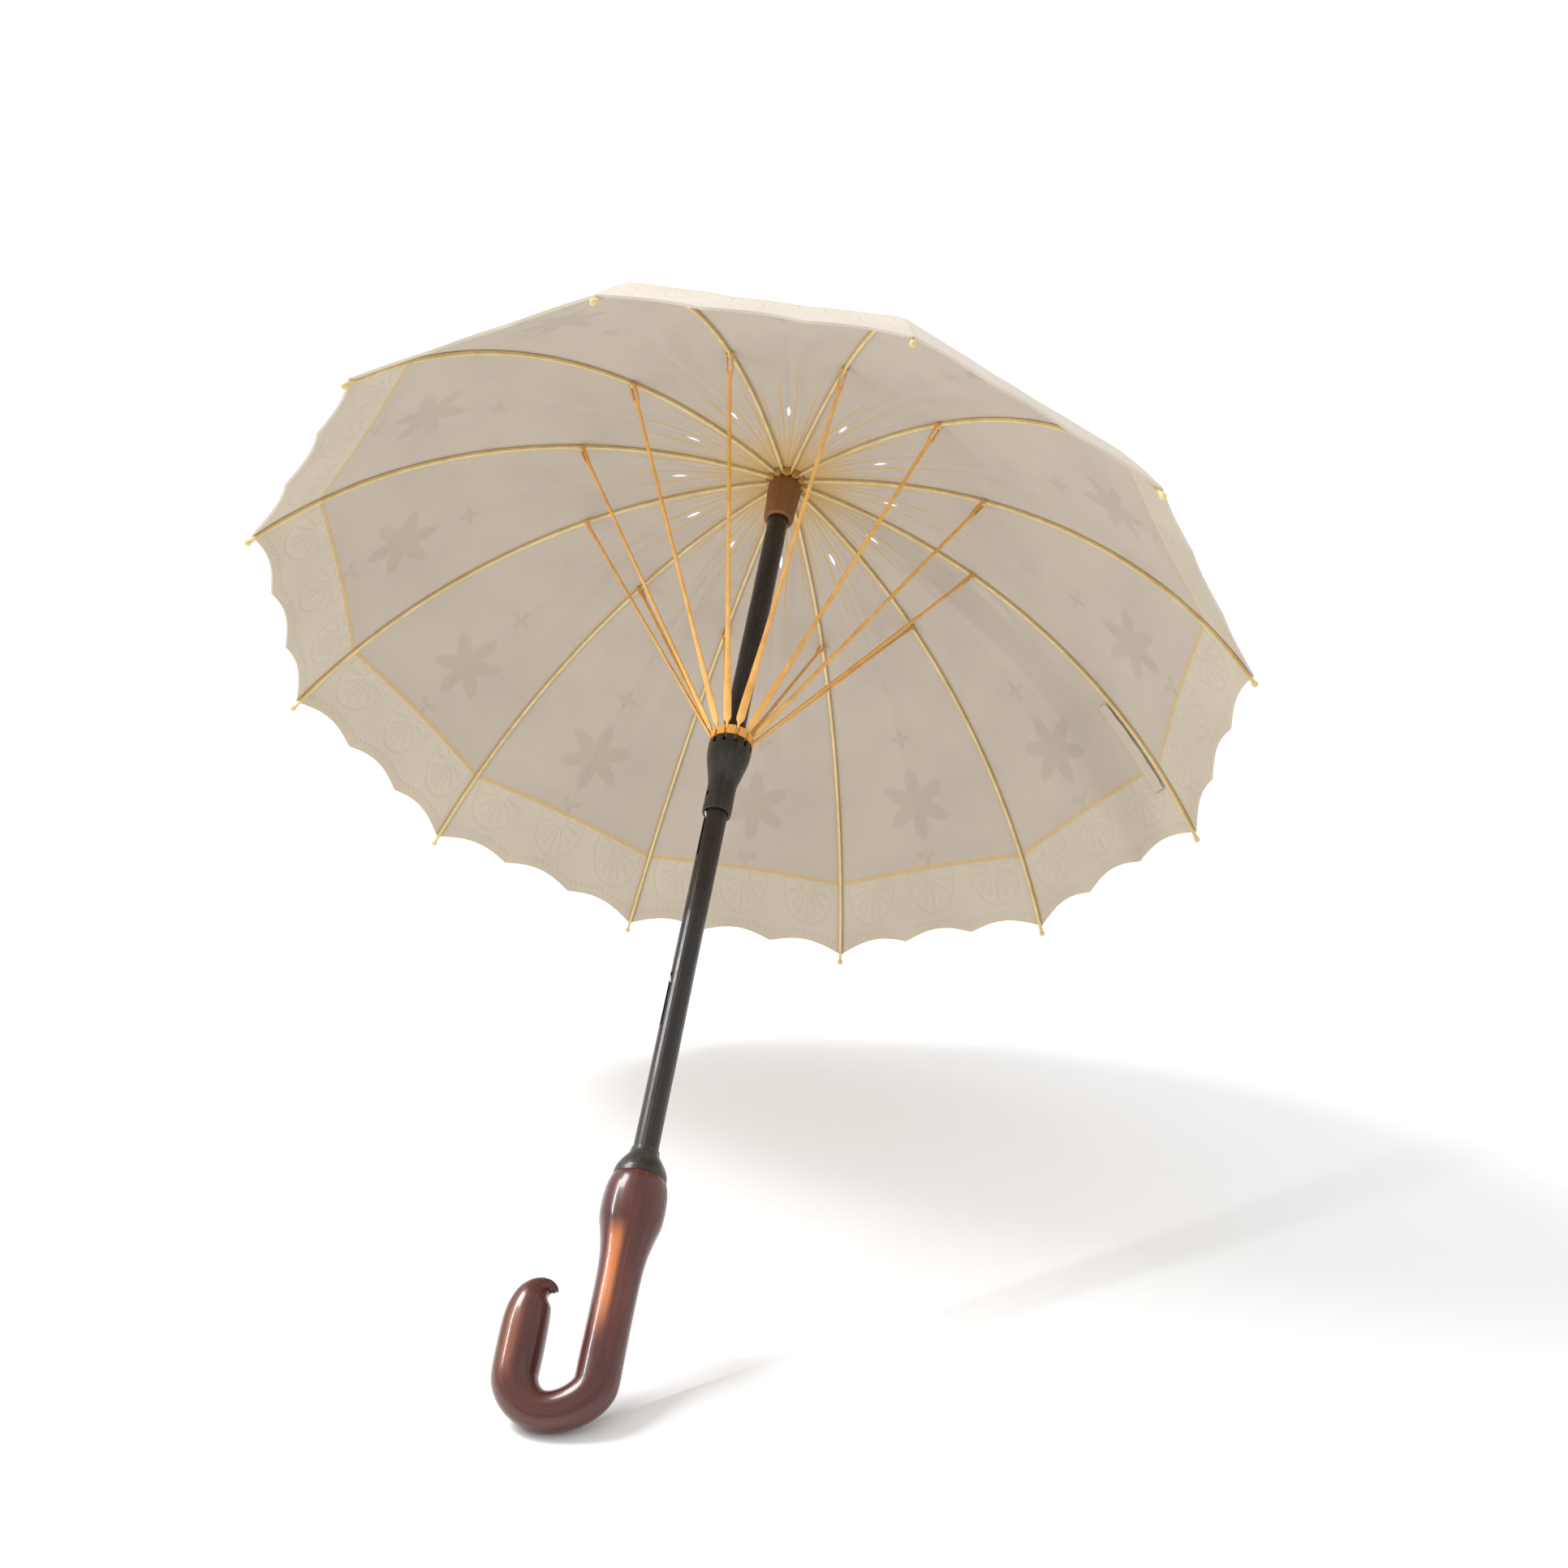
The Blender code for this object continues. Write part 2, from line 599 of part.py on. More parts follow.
def make_strap():
    """Tie strap sewn inside the hem beside the first rib."""
    bm = bmesh.new()
    rows = 5
    grids = []
    for lift in (-0.0009, -0.0001):
        grid = []
        for row in range(rows + 1):
            radius = 0.285 + 0.055 * row / rows
            line = []
            for offset in (0.014, 0.044):
                line.append(bm.verts.new(cloth_point(radius, offset, lift)))
            grid.append(line)
        grids.append(grid)
    lower, upper = grids
    for row in range(rows):
        for grid in grids:
            bm.faces.new((grid[row][0], grid[row][1], grid[row + 1][1], grid[row + 1][0]))
    rim = [(0, 0)] + [(r, 1) for r in range(rows + 1)] + [(r, 0) for r in range(rows, 0, -1)]
    for (r0, c0), (r1, c1) in zip(rim, rim[1:] + rim[:1]):
        bm.faces.new((lower[r0][c0], lower[r1][c1], upper[r1][c1], upper[r0][c0]))
    obj = new_object("tie_strap", bm)
    pivot = gore_pivot(RIB_PHASE + HALF_GORE / 2.0)
    spot = Matrix.Translation(pivot) @ Matrix.Rotation(RIB_PHASE, 4, "Z")
    obj.data.transform(spot.inverted() @ Matrix.Rotation(RIB_PHASE, 4, "Z"))
    place(obj, pivot, RIB_PHASE)
    dress(obj, material("strap_cotton", (0.80, 0.74, 0.66), 0.8))


OPEN_CATCH_Z = FOOT_Z - RUNNER_LENGTH - 0.0010
CLOSED_CATCH_Z = FOOT_Z - RUNNER_TRAVEL - 0.0500


def main():
    clear_scene()
    make_handle()
    make_collar()
    make_shaft()
    make_catch("top_catch", OPEN_CATCH_Z)
    make_catch("bottom_catch", CLOSED_CATCH_Z)
    make_notch_cup()
    make_hub()
    make_cap()
    make_finial()
    make_runner()
    make_crown()
    spread(rib_body(), "rib", PIVOT_R, PIVOT_Z, (0.52, 0.36, 0.15), 0.5)
    knee_z = PIVOT_Z + KNEE.z
    spread(stretcher_body(), "stretcher", PIVOT_R + KNEE.x, knee_z, (0.66, 0.38, 0.14), 0.5)
    make_gores()
    make_strap()


main()
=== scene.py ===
import json
import math

import bmesh
import bpy
import numpy as np
from mathutils import Matrix, Vector


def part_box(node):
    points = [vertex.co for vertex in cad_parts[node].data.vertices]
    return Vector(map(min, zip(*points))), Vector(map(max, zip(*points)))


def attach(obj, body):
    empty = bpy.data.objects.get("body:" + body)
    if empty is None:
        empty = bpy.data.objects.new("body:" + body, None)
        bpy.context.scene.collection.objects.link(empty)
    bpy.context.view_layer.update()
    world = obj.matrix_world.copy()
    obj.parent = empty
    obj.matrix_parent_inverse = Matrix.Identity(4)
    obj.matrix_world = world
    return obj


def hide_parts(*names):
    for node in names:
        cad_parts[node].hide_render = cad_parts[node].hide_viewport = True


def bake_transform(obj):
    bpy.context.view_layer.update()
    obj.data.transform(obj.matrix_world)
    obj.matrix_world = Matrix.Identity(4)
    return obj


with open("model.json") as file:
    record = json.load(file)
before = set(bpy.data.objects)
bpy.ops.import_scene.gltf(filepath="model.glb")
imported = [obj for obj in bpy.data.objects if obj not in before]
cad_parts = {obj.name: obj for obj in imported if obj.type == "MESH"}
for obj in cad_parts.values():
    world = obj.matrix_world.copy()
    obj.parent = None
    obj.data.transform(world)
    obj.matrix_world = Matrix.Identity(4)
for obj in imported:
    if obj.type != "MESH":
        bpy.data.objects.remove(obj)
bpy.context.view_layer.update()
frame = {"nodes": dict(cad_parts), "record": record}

# ---- places read from the CAD frame, in metres, +Z up ---------------------------
JOINTS = {j["name"]: j for j in frame["record"]["behaviour"]["joints"]}
FIRST = JOINTS["rib_01_fold"]["pos_m"]
RIB_PHASE = math.atan2(FIRST[1], FIRST[0])
PIVOT_Z = FIRST[2]
FOOT_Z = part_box("runner_crown")[0].z + 0.0033  # stretcher feet in the runner crown, open
HANDLE_TOP_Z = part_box("handle")[1].z
COLLAR_FOOT_Z, COLLAR_TOP_Z = (corner.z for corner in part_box("handle_collar"))
CUP_TOP_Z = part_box("notch_cup")[1].z
CAP_FOOT_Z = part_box("top_cap")[0].z
FINIAL_FOOT_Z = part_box("finial")[0].z
SHAFT_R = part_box("shaft")[1].x

# ---- sizes, the same as the CAD pieces have --------------------------------------
RIBS = 12
STEP = 2.0 * math.pi / RIBS
HALF = STEP / 2.0
CANOPY_R = 0.360
DOME_RISE = 0.2124
PIVOT_R = 0.0120
ARC_R = (CANOPY_R ** 2 + DOME_RISE ** 2) / (2.0 * DOME_RISE)
RIB_HALF_W = 0.0012
RIB_HALF_H = 0.0015
KNEE_R = 0.162                # where each stretcher meets its rib
KNEE_DROP = 0.0014            # knee pins sit this far under the rib's centre line
GAP = 0.0003                  # running and seating clearance
FOOT_R = 0.0128               # stretcher feet from the shaft axis
RUNNER_LENGTH = 0.0640
RUNNER_TOP = -0.0036          # top of the flared collar, from the feet
SLOT_HALF_W = 0.0013          # slots in the collar for the stretcher feet
KEYWAY_HALF_W = 0.0018
KEYWAY_DEPTH = 0.0009
GATE = (-0.0520, -0.0480)     # catch window in the runner, from the feet
FORK_HALF_GAP = 0.0020        # centre of each tine of the stretcher fork
FORK_LENGTH = 0.0126
CATCH_AZIMUTH = math.radians(215)
CLOTH_INNER_R = 0.0165
CLOTH_REACH = 1.004           # cloth at the rib, as a share of the canopy radius
HEM_DIP = 0.005               # how much shorter the middle of a gore is than its seams
SCALLOP = 0.009               # depth of the small arcs between the hem points
SCALLOP_STEP = math.radians(10)
CLOTH_LIFT = (0.00185, 0.00245)  # under and outer faces of the cloth, above the rib's centre line
HOLLOW = 0.0022               # how far the cloth sinks between the ribs
FOLD = 0.0007                 # slight waves in it
BAND_START = 0.905            # share of the gore's length where the hem band begins
BAND_WIDTH = 0.037            # hem band, from its seam to the edge
FLOWER_Y = 0.322              # flower centre, along the cloth from the shaft axis
FLOWER_R = 0.031
SLIT_Y = 0.088
CROOK_Z = -0.0580             # where the grip starts to bend
CROOK_R = 0.0242              # half the spacing of the grip and the hook arm
CROOK_DEPTH = 0.0215
CROOK_LEAN = 0.0060           # how far the bend leans in under the opening
GRIP_GIRTH = 0.085            # metres of wood grain round the handle

# ---- camera: place and axes in the same frame --------------------------------------
CAM_POS = Vector((0.2197, -1.1023, -0.4192))
RIGHT = Vector((0.9874, 0.04961, 0.15027))
DOWN = Vector((0.09195, 0.59297, -0.79996))
AHEAD = Vector((-0.12879, 0.8037, 0.58094))
FOCAL_PX = 2400.0
FRAME_PX = 1932.0
PITCH = math.radians(13)      # the floor's tilt against the camera
UP = (-math.cos(PITCH) * DOWN - math.sin(PITCH) * AHEAD).normalized()
SUN = Vector((-0.622, -0.559, 0.548)).normalized()


# ---- node helpers --------------------------------------------------------------
class Nodes:
    """Short calls for building a material's node tree."""

    def __init__(self, name, rough=0.5, **sockets):
        self.mat = bpy.data.materials.new(name)
        self.mat.use_nodes = True
        self.tree = self.mat.node_tree
        self.shader = self.tree.nodes["Principled BSDF"]
        self.out = self.tree.nodes["Material Output"]
        self.shader.inputs["Roughness"].default_value = rough
        for key, value in sockets.items():
            self.shader.inputs[key.replace("_", " ")].default_value = value

    def add(self, kind, **settings):
        node = self.tree.nodes.new(kind)
        for key, value in settings.items():
            setattr(node, key, value)
        return node

    def put(self, value, socket):
        if isinstance(value, bpy.types.NodeSocket):
            self.tree.links.new(value, socket)
        else:
            socket.default_value = value

    def math(self, operation, a, b=0.0):
        node = self.add("ShaderNodeMath", operation=operation)
        for value, socket in zip((a, b), node.inputs):
            self.put(value, socket)
        return node.outputs[0]

    def times(self, a, b):
        return self.math("MULTIPLY", a, b)

    def plus(self, a, b):
        return self.math("ADD", a, b)

    def minus(self, a, b):
        return self.math("SUBTRACT", a, b)

    def larger(self, a, b):
        return self.math("MAXIMUM", a, b)

    def ramp(self, value, low, high, to_low=0.0, to_high=1.0):
        node = self.add("ShaderNodeMapRange", interpolation_type="SMOOTHSTEP")
        for item, socket in zip((value, low, high, to_low, to_high), node.inputs):
            self.put(item, socket)
        return node.outputs[0]

    def mix(self, factor, a, b):
        node = self.add("ShaderNodeMix", data_type="RGBA")
        self.put(factor, node.inputs[0])
        for value, socket in ((a, node.inputs[6]), (b, node.inputs[7])):
            self.put(value if isinstance(value, bpy.types.NodeSocket) else (*value, 1.0), socket)
        return node.outputs[2]

    def coords(self, uv=None, scale=(1, 1, 1)):
        if uv:
            source = self.add("ShaderNodeUVMap", uv_map=uv).outputs[0]
        else:
            source = self.add("ShaderNodeTexCoord").outputs["Object"]
        mapping = self.add("ShaderNodeMapping")
        self.tree.links.new(source, mapping.inputs[0])
        mapping.inputs["Scale"].default_value = scale
        return mapping.outputs[0]

    def noise(self, vector, scale, detail=3.0, rough=0.5):
        node = self.add("ShaderNodeTexNoise")
        self.put(vector, node.inputs["Vector"])
        self.put(scale, node.inputs["Scale"])
        self.put(detail, node.inputs["Detail"])
        self.put(rough, node.inputs["Roughness"])
        return node.outputs[0]

    def split(self, vector):
        node = self.add("ShaderNodeSeparateXYZ")
        self.put(vector, node.inputs[0])
        return node.outputs

    def colour(self, value):
        self.put(value, self.shader.inputs["Base Color"])

    def roughness(self, value):
        self.put(value, self.shader.inputs["Roughness"])

    def bump(self, height, distance, strength=1.0):
        node = self.add("ShaderNodeBump")
        node.inputs["Strength"].default_value = strength
        node.inputs["Distance"].default_value = distance
        self.put(height, node.inputs["Height"])
        self.tree.links.new(node.outputs[0], self.shader.inputs["Normal"])


def srgb(r, g, b):
    """sRGB 0 to 255 as linear."""
    def one(v):
        v = v / 255.0
        return v / 12.92 if v <= 0.04045 else ((v + 0.055) / 1.055) ** 2.4
    return (one(r), one(g), one(b))


# Gold of the stitching, also used for the painted glow round the hub.
GOLD_THREAD_AND_GLOW = srgb(212, 176, 104)


# ---- materials -------------------------------------------------------------------
def wood(name, dark, light, rough, coat, scale=(1, 1, 1), streak=160.0):
    """Streaky wood between two colours; scale stretches the streaks along an axis."""
    n = Nodes(name, rough, Coat_Weight=coat, Coat_Roughness=0.04)
    base = n.coords(None, scale)
    streaks = n.noise(base, streak, 5.0, 0.65)
    clouds = n.noise(base, streak * 0.16, 3.0, 0.5)
    both = n.plus(n.times(streaks, 0.65), n.times(clouds, 0.45))
    n.colour(n.mix(n.ramp(both, 0.38, 0.72), dark, light))
    n.roughness(n.ramp(streaks, 0.2, 0.8, rough * 0.8, rough * 1.35))
    n.bump(streaks, 0.00012, 0.5)
    return n.mat


def window(n, value, start, rise, fall, end):
    """1 between rise and fall, fading to 0 at start and end."""
    return n.times(n.ramp(value, start, rise), n.ramp(value, fall, end, 1.0, 0.0))


def handle_wood():
    """Dark red-brown lacquered wood, with a painted orange reflection down the front of the grip and the hook.
    """
    n = Nodes("handle_wood", 0.26, Coat_Weight=0.30, Coat_Roughness=0.04)
    n.shader.inputs["Specular IOR Level"].default_value = 0.38
    base = n.coords("grain", (30, 2.2, 1))
    streaks = n.noise(base, 9.0, 5.0, 0.65)
    clouds = n.noise(base, 1.5, 3.0, 0.5)
    grain = n.plus(n.times(streaks, 0.65), n.times(clouds, 0.45))
    colour = n.mix(n.ramp(grain, 0.38, 0.72), srgb(62, 25, 20), srgb(86, 41, 33))
    # Painted reflection: an orange streak of reflected light, painted down the front of the grip and the hook.
    across, along, _ = n.split(n.coords("grain"))
    centre = n.ramp(along, 0.11, 0.20, 0.0462, 0.0376)
    away = n.math("ABSOLUTE", n.minus(across, centre))
    reflection_band = n.ramp(away, 0.0020, 0.0060, 1.0, 0.0)
    front = n.plus(reflection_band, n.times(n.minus(streaks, 0.5), 0.5))
    on_grip = window(n, along, 0.030, 0.046, 0.075, 0.110)
    on_hook = n.times(window(n, along, 0.184, 0.202, 0.222, 0.245), 0.32)
    reflection_zones = n.plus(on_grip, on_hook)
    painted_reflection = n.times(n.times(front, reflection_zones), 0.85)
    painted_reflection.node.use_clamp = True
    # The orange of the painted reflection.
    n.colour(n.mix(painted_reflection, colour, srgb(186, 108, 56)))
    n.roughness(n.ramp(streaks, 0.2, 0.8, 0.20, 0.34))
    n.bump(streaks, 0.00010, 0.4)
    return n.mat


def weave_height(n, uv_vector, pitch):
    """Plain weave from two sine grids."""
    x, y, _ = n.split(uv_vector)
    turn = 2.0 * math.pi / pitch
    warp = n.math("SINE", n.times(x, turn))
    weft = n.math("SINE", n.times(y, turn))
    return n.times(warp, weft)


def flower_mask(n, x, y, centre_y, radius, petals, soft, depth=0.36):
    """1 inside a soft-edged flower of that many petals centred at (0, centre_y), metres on the cloth."""
    dy = n.minus(y, centre_y)
    reach = n.math("SQRT", n.plus(n.times(x, x), n.times(dy, dy)))
    turn = n.math("ARCTAN2", x, dy)
    wave = n.math("COSINE", n.times(turn, float(petals)))
    edge = n.times(n.plus(n.times(wave, depth), 1.0 - depth), radius)
    return n.ramp(n.minus(edge, reach), -soft, soft), reach


def ring_mask(n, reach, radius, width, soft=0.0006):
    """1 on a ring of that radius and half width."""
    away = n.math("ABSOLUTE", n.minus(reach, radius))
    return n.ramp(away, width, width + soft, 1.0, 0.0)


def hub_threads_and_glow(n, across, y, wobble):
    """Gold threads fanning from the hub, and a painted glow of light on the cloth round the hub; across counts
    scallops from the rib seam.
    """
    side = n.plus(n.math("ABSOLUTE", across), n.times(n.minus(wobble, 0.5), 0.34))
    threads = 0.0
    for start, reach in ((0.38, 0.150), (0.80, 0.095), (1.18, 0.185)):
        away = n.times(n.math("ABSOLUTE", n.minus(side, start)), n.times(y, 0.1745))
        line = n.ramp(away, 0.0003, 0.0011, 1.0, 0.0)
        fade = n.ramp(y, reach * 0.55, reach, 1.0, 0.0)
        threads = n.larger(threads, n.times(line, fade))
    # Painted light: a gold glow round the hub, lighter than the shade the cloth gets there.
    glow = n.ramp(y, 0.024, 0.062, 0.75, 0.0)
    return n.larger(threads, glow)


def slit_mask(n, x, y):
    """A small almond eyelet in the middle of each gore, near the hub."""
    dy = n.math("DIVIDE", n.minus(y, SLIT_Y), 0.0066)
    dx = n.math("DIVIDE", x, 0.0015)
    far = n.plus(n.times(dx, dx), n.math("ABSOLUTE", dy))
    return n.math("LESS_THAN", far, 1.0)


def lace_border(n, lobe, depth):
    """Openwork fans, one to each scallop, and a row of small stitches inside the edge."""
    wave = n.minus(n.math("FRACT", lobe), 0.5)
    dx = n.times(wave, 0.062)
    dy = n.minus(n.times(depth, BAND_WIDTH), 0.006)
    reach = n.math("SQRT", n.plus(n.times(dx, dx), n.times(dy, dy)))
    turn = n.math("ARCTAN2", dx, dy)
    rays = n.ramp(n.math("COSINE", n.times(turn, 14.0)), 0.0, 0.6)
    fan = n.times(rays, n.ramp(reach, 0.0180, 0.0200, 1.0, 0.0))
    fan = n.times(fan, n.ramp(reach, 0.006, 0.0072))
    arcs = n.larger(ring_mask(n, reach, 0.0225, 0.0006, 0.0009), ring_mask(n, reach, 0.0050, 0.0005))
    beads = n.times(n.ramp(n.math("SINE", n.times(lobe, 75.4)), 0.0, 0.5),
                   ring_mask(n, n.times(depth, BAND_WIDTH), BAND_WIDTH - 0.0042, 0.0007))
    return n.larger(n.larger(fan, arcs), beads)


def cotton(name, tint, band, thread_and_glow=1.0):
    """Cream cotton, with tone-on-tone flowers or with the lace border of the hem band.

    thread_and_glow is how gold the stitching is, and how strong the painted glow round the hub.
    """
    n = Nodes(name, 0.86, Sheen_Weight=0.12, Sheen_Roughness=0.5)
    n.shader.inputs["Specular IOR Level"].default_value = 0.25
    cloth = n.coords("cloth")
    x, y, _ = n.split(cloth)
    across, depth, _ = n.split(n.coords("lace"))
    weave = weave_height(n, cloth, 0.0011)
    slub = n.noise(n.coords("cloth", (1.0, 9.0, 1.0)), 90.0, 4.0, 0.6)
    blotch = n.noise(cloth, 9.0, 3.0, 0.55)
    shade = tuple(c * 0.84 for c in tint)
    motif_tint = (tint[0] * 0.83, tint[1] * 0.80, tint[2] * 0.79)
    base = n.mix(n.ramp(blotch, 0.35, 0.75), tint, tuple(c * 0.90 for c in tint))
    base = n.mix(n.times(n.ramp(slub, 0.45, 0.8), 0.16), base, shade)
    height = n.plus(n.times(weave, 0.25), n.times(slub, 0.4))
    if band:
        pattern = lace_border(n, across, depth)
        base = n.mix(n.times(pattern, 0.22), base, motif_tint)
        height = n.plus(height, n.times(pattern, 1.4))
        seam = ring_mask(n, n.times(depth, BAND_WIDTH), 0.0, 0.0009, 0.0009)
        edge = n.ramp(depth, 0.95, 0.99)
        rib = ring_mask(n, n.times(n.math("ABSOLUTE", across), 0.0625), 0.0, 0.0017, 0.0010)
        gold = n.larger(seam, n.larger(n.times(edge, 0.35), n.times(rib, 0.5)))
        base = n.mix(n.times(gold, 0.60 * thread_and_glow), base, GOLD_THREAD_AND_GLOW)
        height = n.plus(height, n.times(seam, 2.0))
    else:
        wobble = n.noise(n.coords("cloth", (1.0, 1.0, 1.0)), 16.0, 2.0, 0.5)
        petals, reach = flower_mask(n, x, y, FLOWER_Y, FLOWER_R, 6, 0.0042, 0.27)
        leaf_a, _ = flower_mask(n, x, y, FLOWER_Y + FLOWER_R * 1.55, FLOWER_R * 0.34, 3, 0.0018, 0.5)
        leaf_b, _ = flower_mask(n, x, y, FLOWER_Y - FLOWER_R * 1.9, FLOWER_R * 0.30, 4, 0.0018, 0.4)
        motif = n.larger(petals, n.times(n.larger(leaf_a, leaf_b), 0.7))
        motif = n.times(motif, n.ramp(blotch, 0.30, 0.55, 0.55, 1.0))
        base = n.mix(n.times(motif, 0.68), base, motif_tint)
        height = n.plus(height, n.times(motif, 1.2))
        threads = hub_threads_and_glow(n, across, y, wobble)
        rib = ring_mask(n, n.times(n.math("ABSOLUTE", across), n.times(y, 0.1745)), 0.0, 0.0016, 0.0012)
        gold = n.larger(threads, n.times(rib, 0.35))
        # Painted light: more of the gold glow round the hub.
        gold = n.larger(gold, n.ramp(y, 0.020, 0.070, 0.95, 0.0))
        base = n.mix(n.times(gold, 0.85 * thread_and_glow), base, GOLD_THREAD_AND_GLOW)
    n.colour(base)
    n.bump(height, 0.00025, 0.6)
    glow = n.add("ShaderNodeBsdfTranslucent")
    n.put(base, glow.inputs[0])
    blend = n.add("ShaderNodeMixShader")
    blend.inputs[0].default_value = 0.14
    n.tree.links.new(n.shader.outputs[0], blend.inputs[1])
    n.tree.links.new(glow.outputs[0], blend.inputs[2])
    last = blend.outputs[0]
    if not band:
        hole = slit_mask(n, x, y)
        clear = n.add("ShaderNodeBsdfTransparent")
        cut = n.add("ShaderNodeMixShader")
        n.put(hole, cut.inputs[0])
        n.tree.links.new(last, cut.inputs[1])
        n.tree.links.new(clear.outputs[0], cut.inputs[2])
        last = cut.outputs[0]
    n.tree.links.new(last, n.out.inputs[0])
    return n.mat


def plain_cloth(name, tint):
    """Plain cream ribbon and cap cloth."""
    n = Nodes(name, 0.86, Sheen_Weight=0.12)
    n.shader.inputs["Specular IOR Level"].default_value = 0.25
    threads = n.noise(n.coords(None, (9.0, 1.0, 1.0)), 260.0, 4.0, 0.6)
    cloud = n.noise(n.coords(), 30.0, 2.0)
    n.colour(n.mix(n.ramp(cloud, 0.3, 0.75), tint, tuple(c * 0.92 for c in tint)))
    n.bump(threads, 0.0002, 0.6)
    return n.mat


def metal(name, tint, rough):
    """Brushed metal."""
    n = Nodes(name, rough, Metallic=1.0)
    grain = n.noise(n.coords(None, (1, 1, 0.05)), 900.0, 2.0)
    n.colour(n.mix(grain, tint, tuple(c * 0.8 for c in tint)))
    n.roughness(n.ramp(grain, 0.2, 0.8, rough * 0.7, rough * 1.4))
    return n.mat


def lacquer(name, dark, light, rough):
    """Dark painted wood with faint streaks and a thin gloss."""
    n = Nodes(name, rough, Coat_Weight=0.22, Coat_Roughness=0.06)
    n.shader.inputs["Specular IOR Level"].default_value = 0.35
    streaks = n.noise(n.coords(None, (1, 1, 0.06)), 420.0, 4.0, 0.6)
    wear = n.noise(n.coords(), 60.0, 3.0, 0.6)
    n.colour(n.mix(n.ramp(n.plus(streaks, n.times(wear, 0.4)), 0.55, 0.95), dark, light))
    n.roughness(n.ramp(wear, 0.3, 0.7, rough * 0.8, rough * 1.5))
    n.bump(streaks, 0.0001, 0.4)
    return n.mat


# ---- mesh helpers --------------------------------------------------------------------
def to_object(name, bm, mats, smooth=True, angle=40.0):
    """Turn a bmesh into a linked object; angle in degrees keeps sharper edges hard."""
    bmesh.ops.recalc_face_normals(bm, faces=bm.faces)
    mesh = bpy.data.meshes.new(name)
    bm.to_mesh(mesh)
    bm.free()
    obj = bpy.data.objects.new(name, mesh)
    bpy.context.scene.collection.objects.link(obj)
    for mat in mats:
        mesh.materials.append(mat)
    soften(mesh, angle, smooth)
    return obj


def soften(mesh, angle=40.0, smooth=True):
    mesh.polygons.foreach_set("use_smooth", [smooth] * len(mesh.polygons))
    if smooth:
        mesh.set_sharp_from_angle(angle=math.radians(angle))


def bridge(bm, lower, upper):
    """Faces between two rings; a ring of one vertex makes a fan."""
    faces = []
    count = max(len(lower), len(upper))
    for k in range(count):
        nxt = (k + 1) % count
        corners = [lower[k % len(lower)], lower[nxt % len(lower)]]
        corners += [upper[nxt % len(upper)], upper[k % len(upper)]]
        faces.append(bm.faces.new(list(dict.fromkeys(corners))))
    return faces


def rounded(profile, steps=5):
    """Catmull-Rom through (radius, height) points marked smooth; a point with a third item stays sharp."""
    out = []
    pts = [Vector(p[:2]) for p in profile]
    sharp = [len(p) > 2 for p in profile]
    for k in range(len(pts) - 1):
        a, b = pts[k], pts[k + 1]
        before = pts[k - 1] if k > 0 and not sharp[k] else a - (b - a)
        after = pts[k + 2] if k + 2 < len(pts) and not sharp[k + 1] else b + (b - a)
        for s in range(steps):
            t = s / steps
            out.append(0.5 * ((2 * a) + (b - before) * t + (2 * before - 5 * a + 4 * b - after) * t * t
                              + (3 * a - before - 3 * b + after) * t ** 3))
    out.append(pts[-1])
    return [(max(p.x, 0.0), p.y) for p in out]


def lathe(profile, segments, closed):
    """Body of revolution about Z. closed joins the last profile point to the first, as a ring."""
    bm = bmesh.new()
    rows = []
    for radius, height in profile:
        if radius < 1e-6:
            rows.append([bm.verts.new((0, 0, height))])
            continue
        row = []
        for k in range(segments):
            turn = 2.0 * math.pi * k / segments
            row.append(bm.verts.new((radius * math.cos(turn), radius * math.sin(turn), height)))
        rows.append(row)
    pairs = list(zip(rows, rows[1:]))
    if closed:
        pairs.append((rows[-1], rows[0]))
    for lower, upper in pairs:
        bridge(bm, lower, upper)
    return bm


def turned(name, profile, mat, body, nodes, closed=True):
    """Turned piece that stands in for CAD nodes and moves with a body."""
    obj = to_object(name, lathe(profile, 72, closed), [mat])
    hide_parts(*nodes)
    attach(obj, body)
    return obj


def spline(points, per):
    """Catmull-Rom through rows of numbers."""
    rows = np.array(points, float)
    padded = np.vstack([2 * rows[0] - rows[1], rows, 2 * rows[-1] - rows[-2]])
    out = []
    for k in range(1, len(padded) - 2):
        p0, p1, p2, p3 = padded[k - 1:k + 3]
        for s in range(per):
            t = s / per
            out.append(0.5 * (2 * p1 + (p2 - p0) * t + (2 * p0 - 5 * p1 + 4 * p2 - p3) * t * t
                              + (3 * p1 - p0 - 3 * p2 + p3) * t ** 3))
    out.append(rows[-1])
    return np.array(out).tolist()


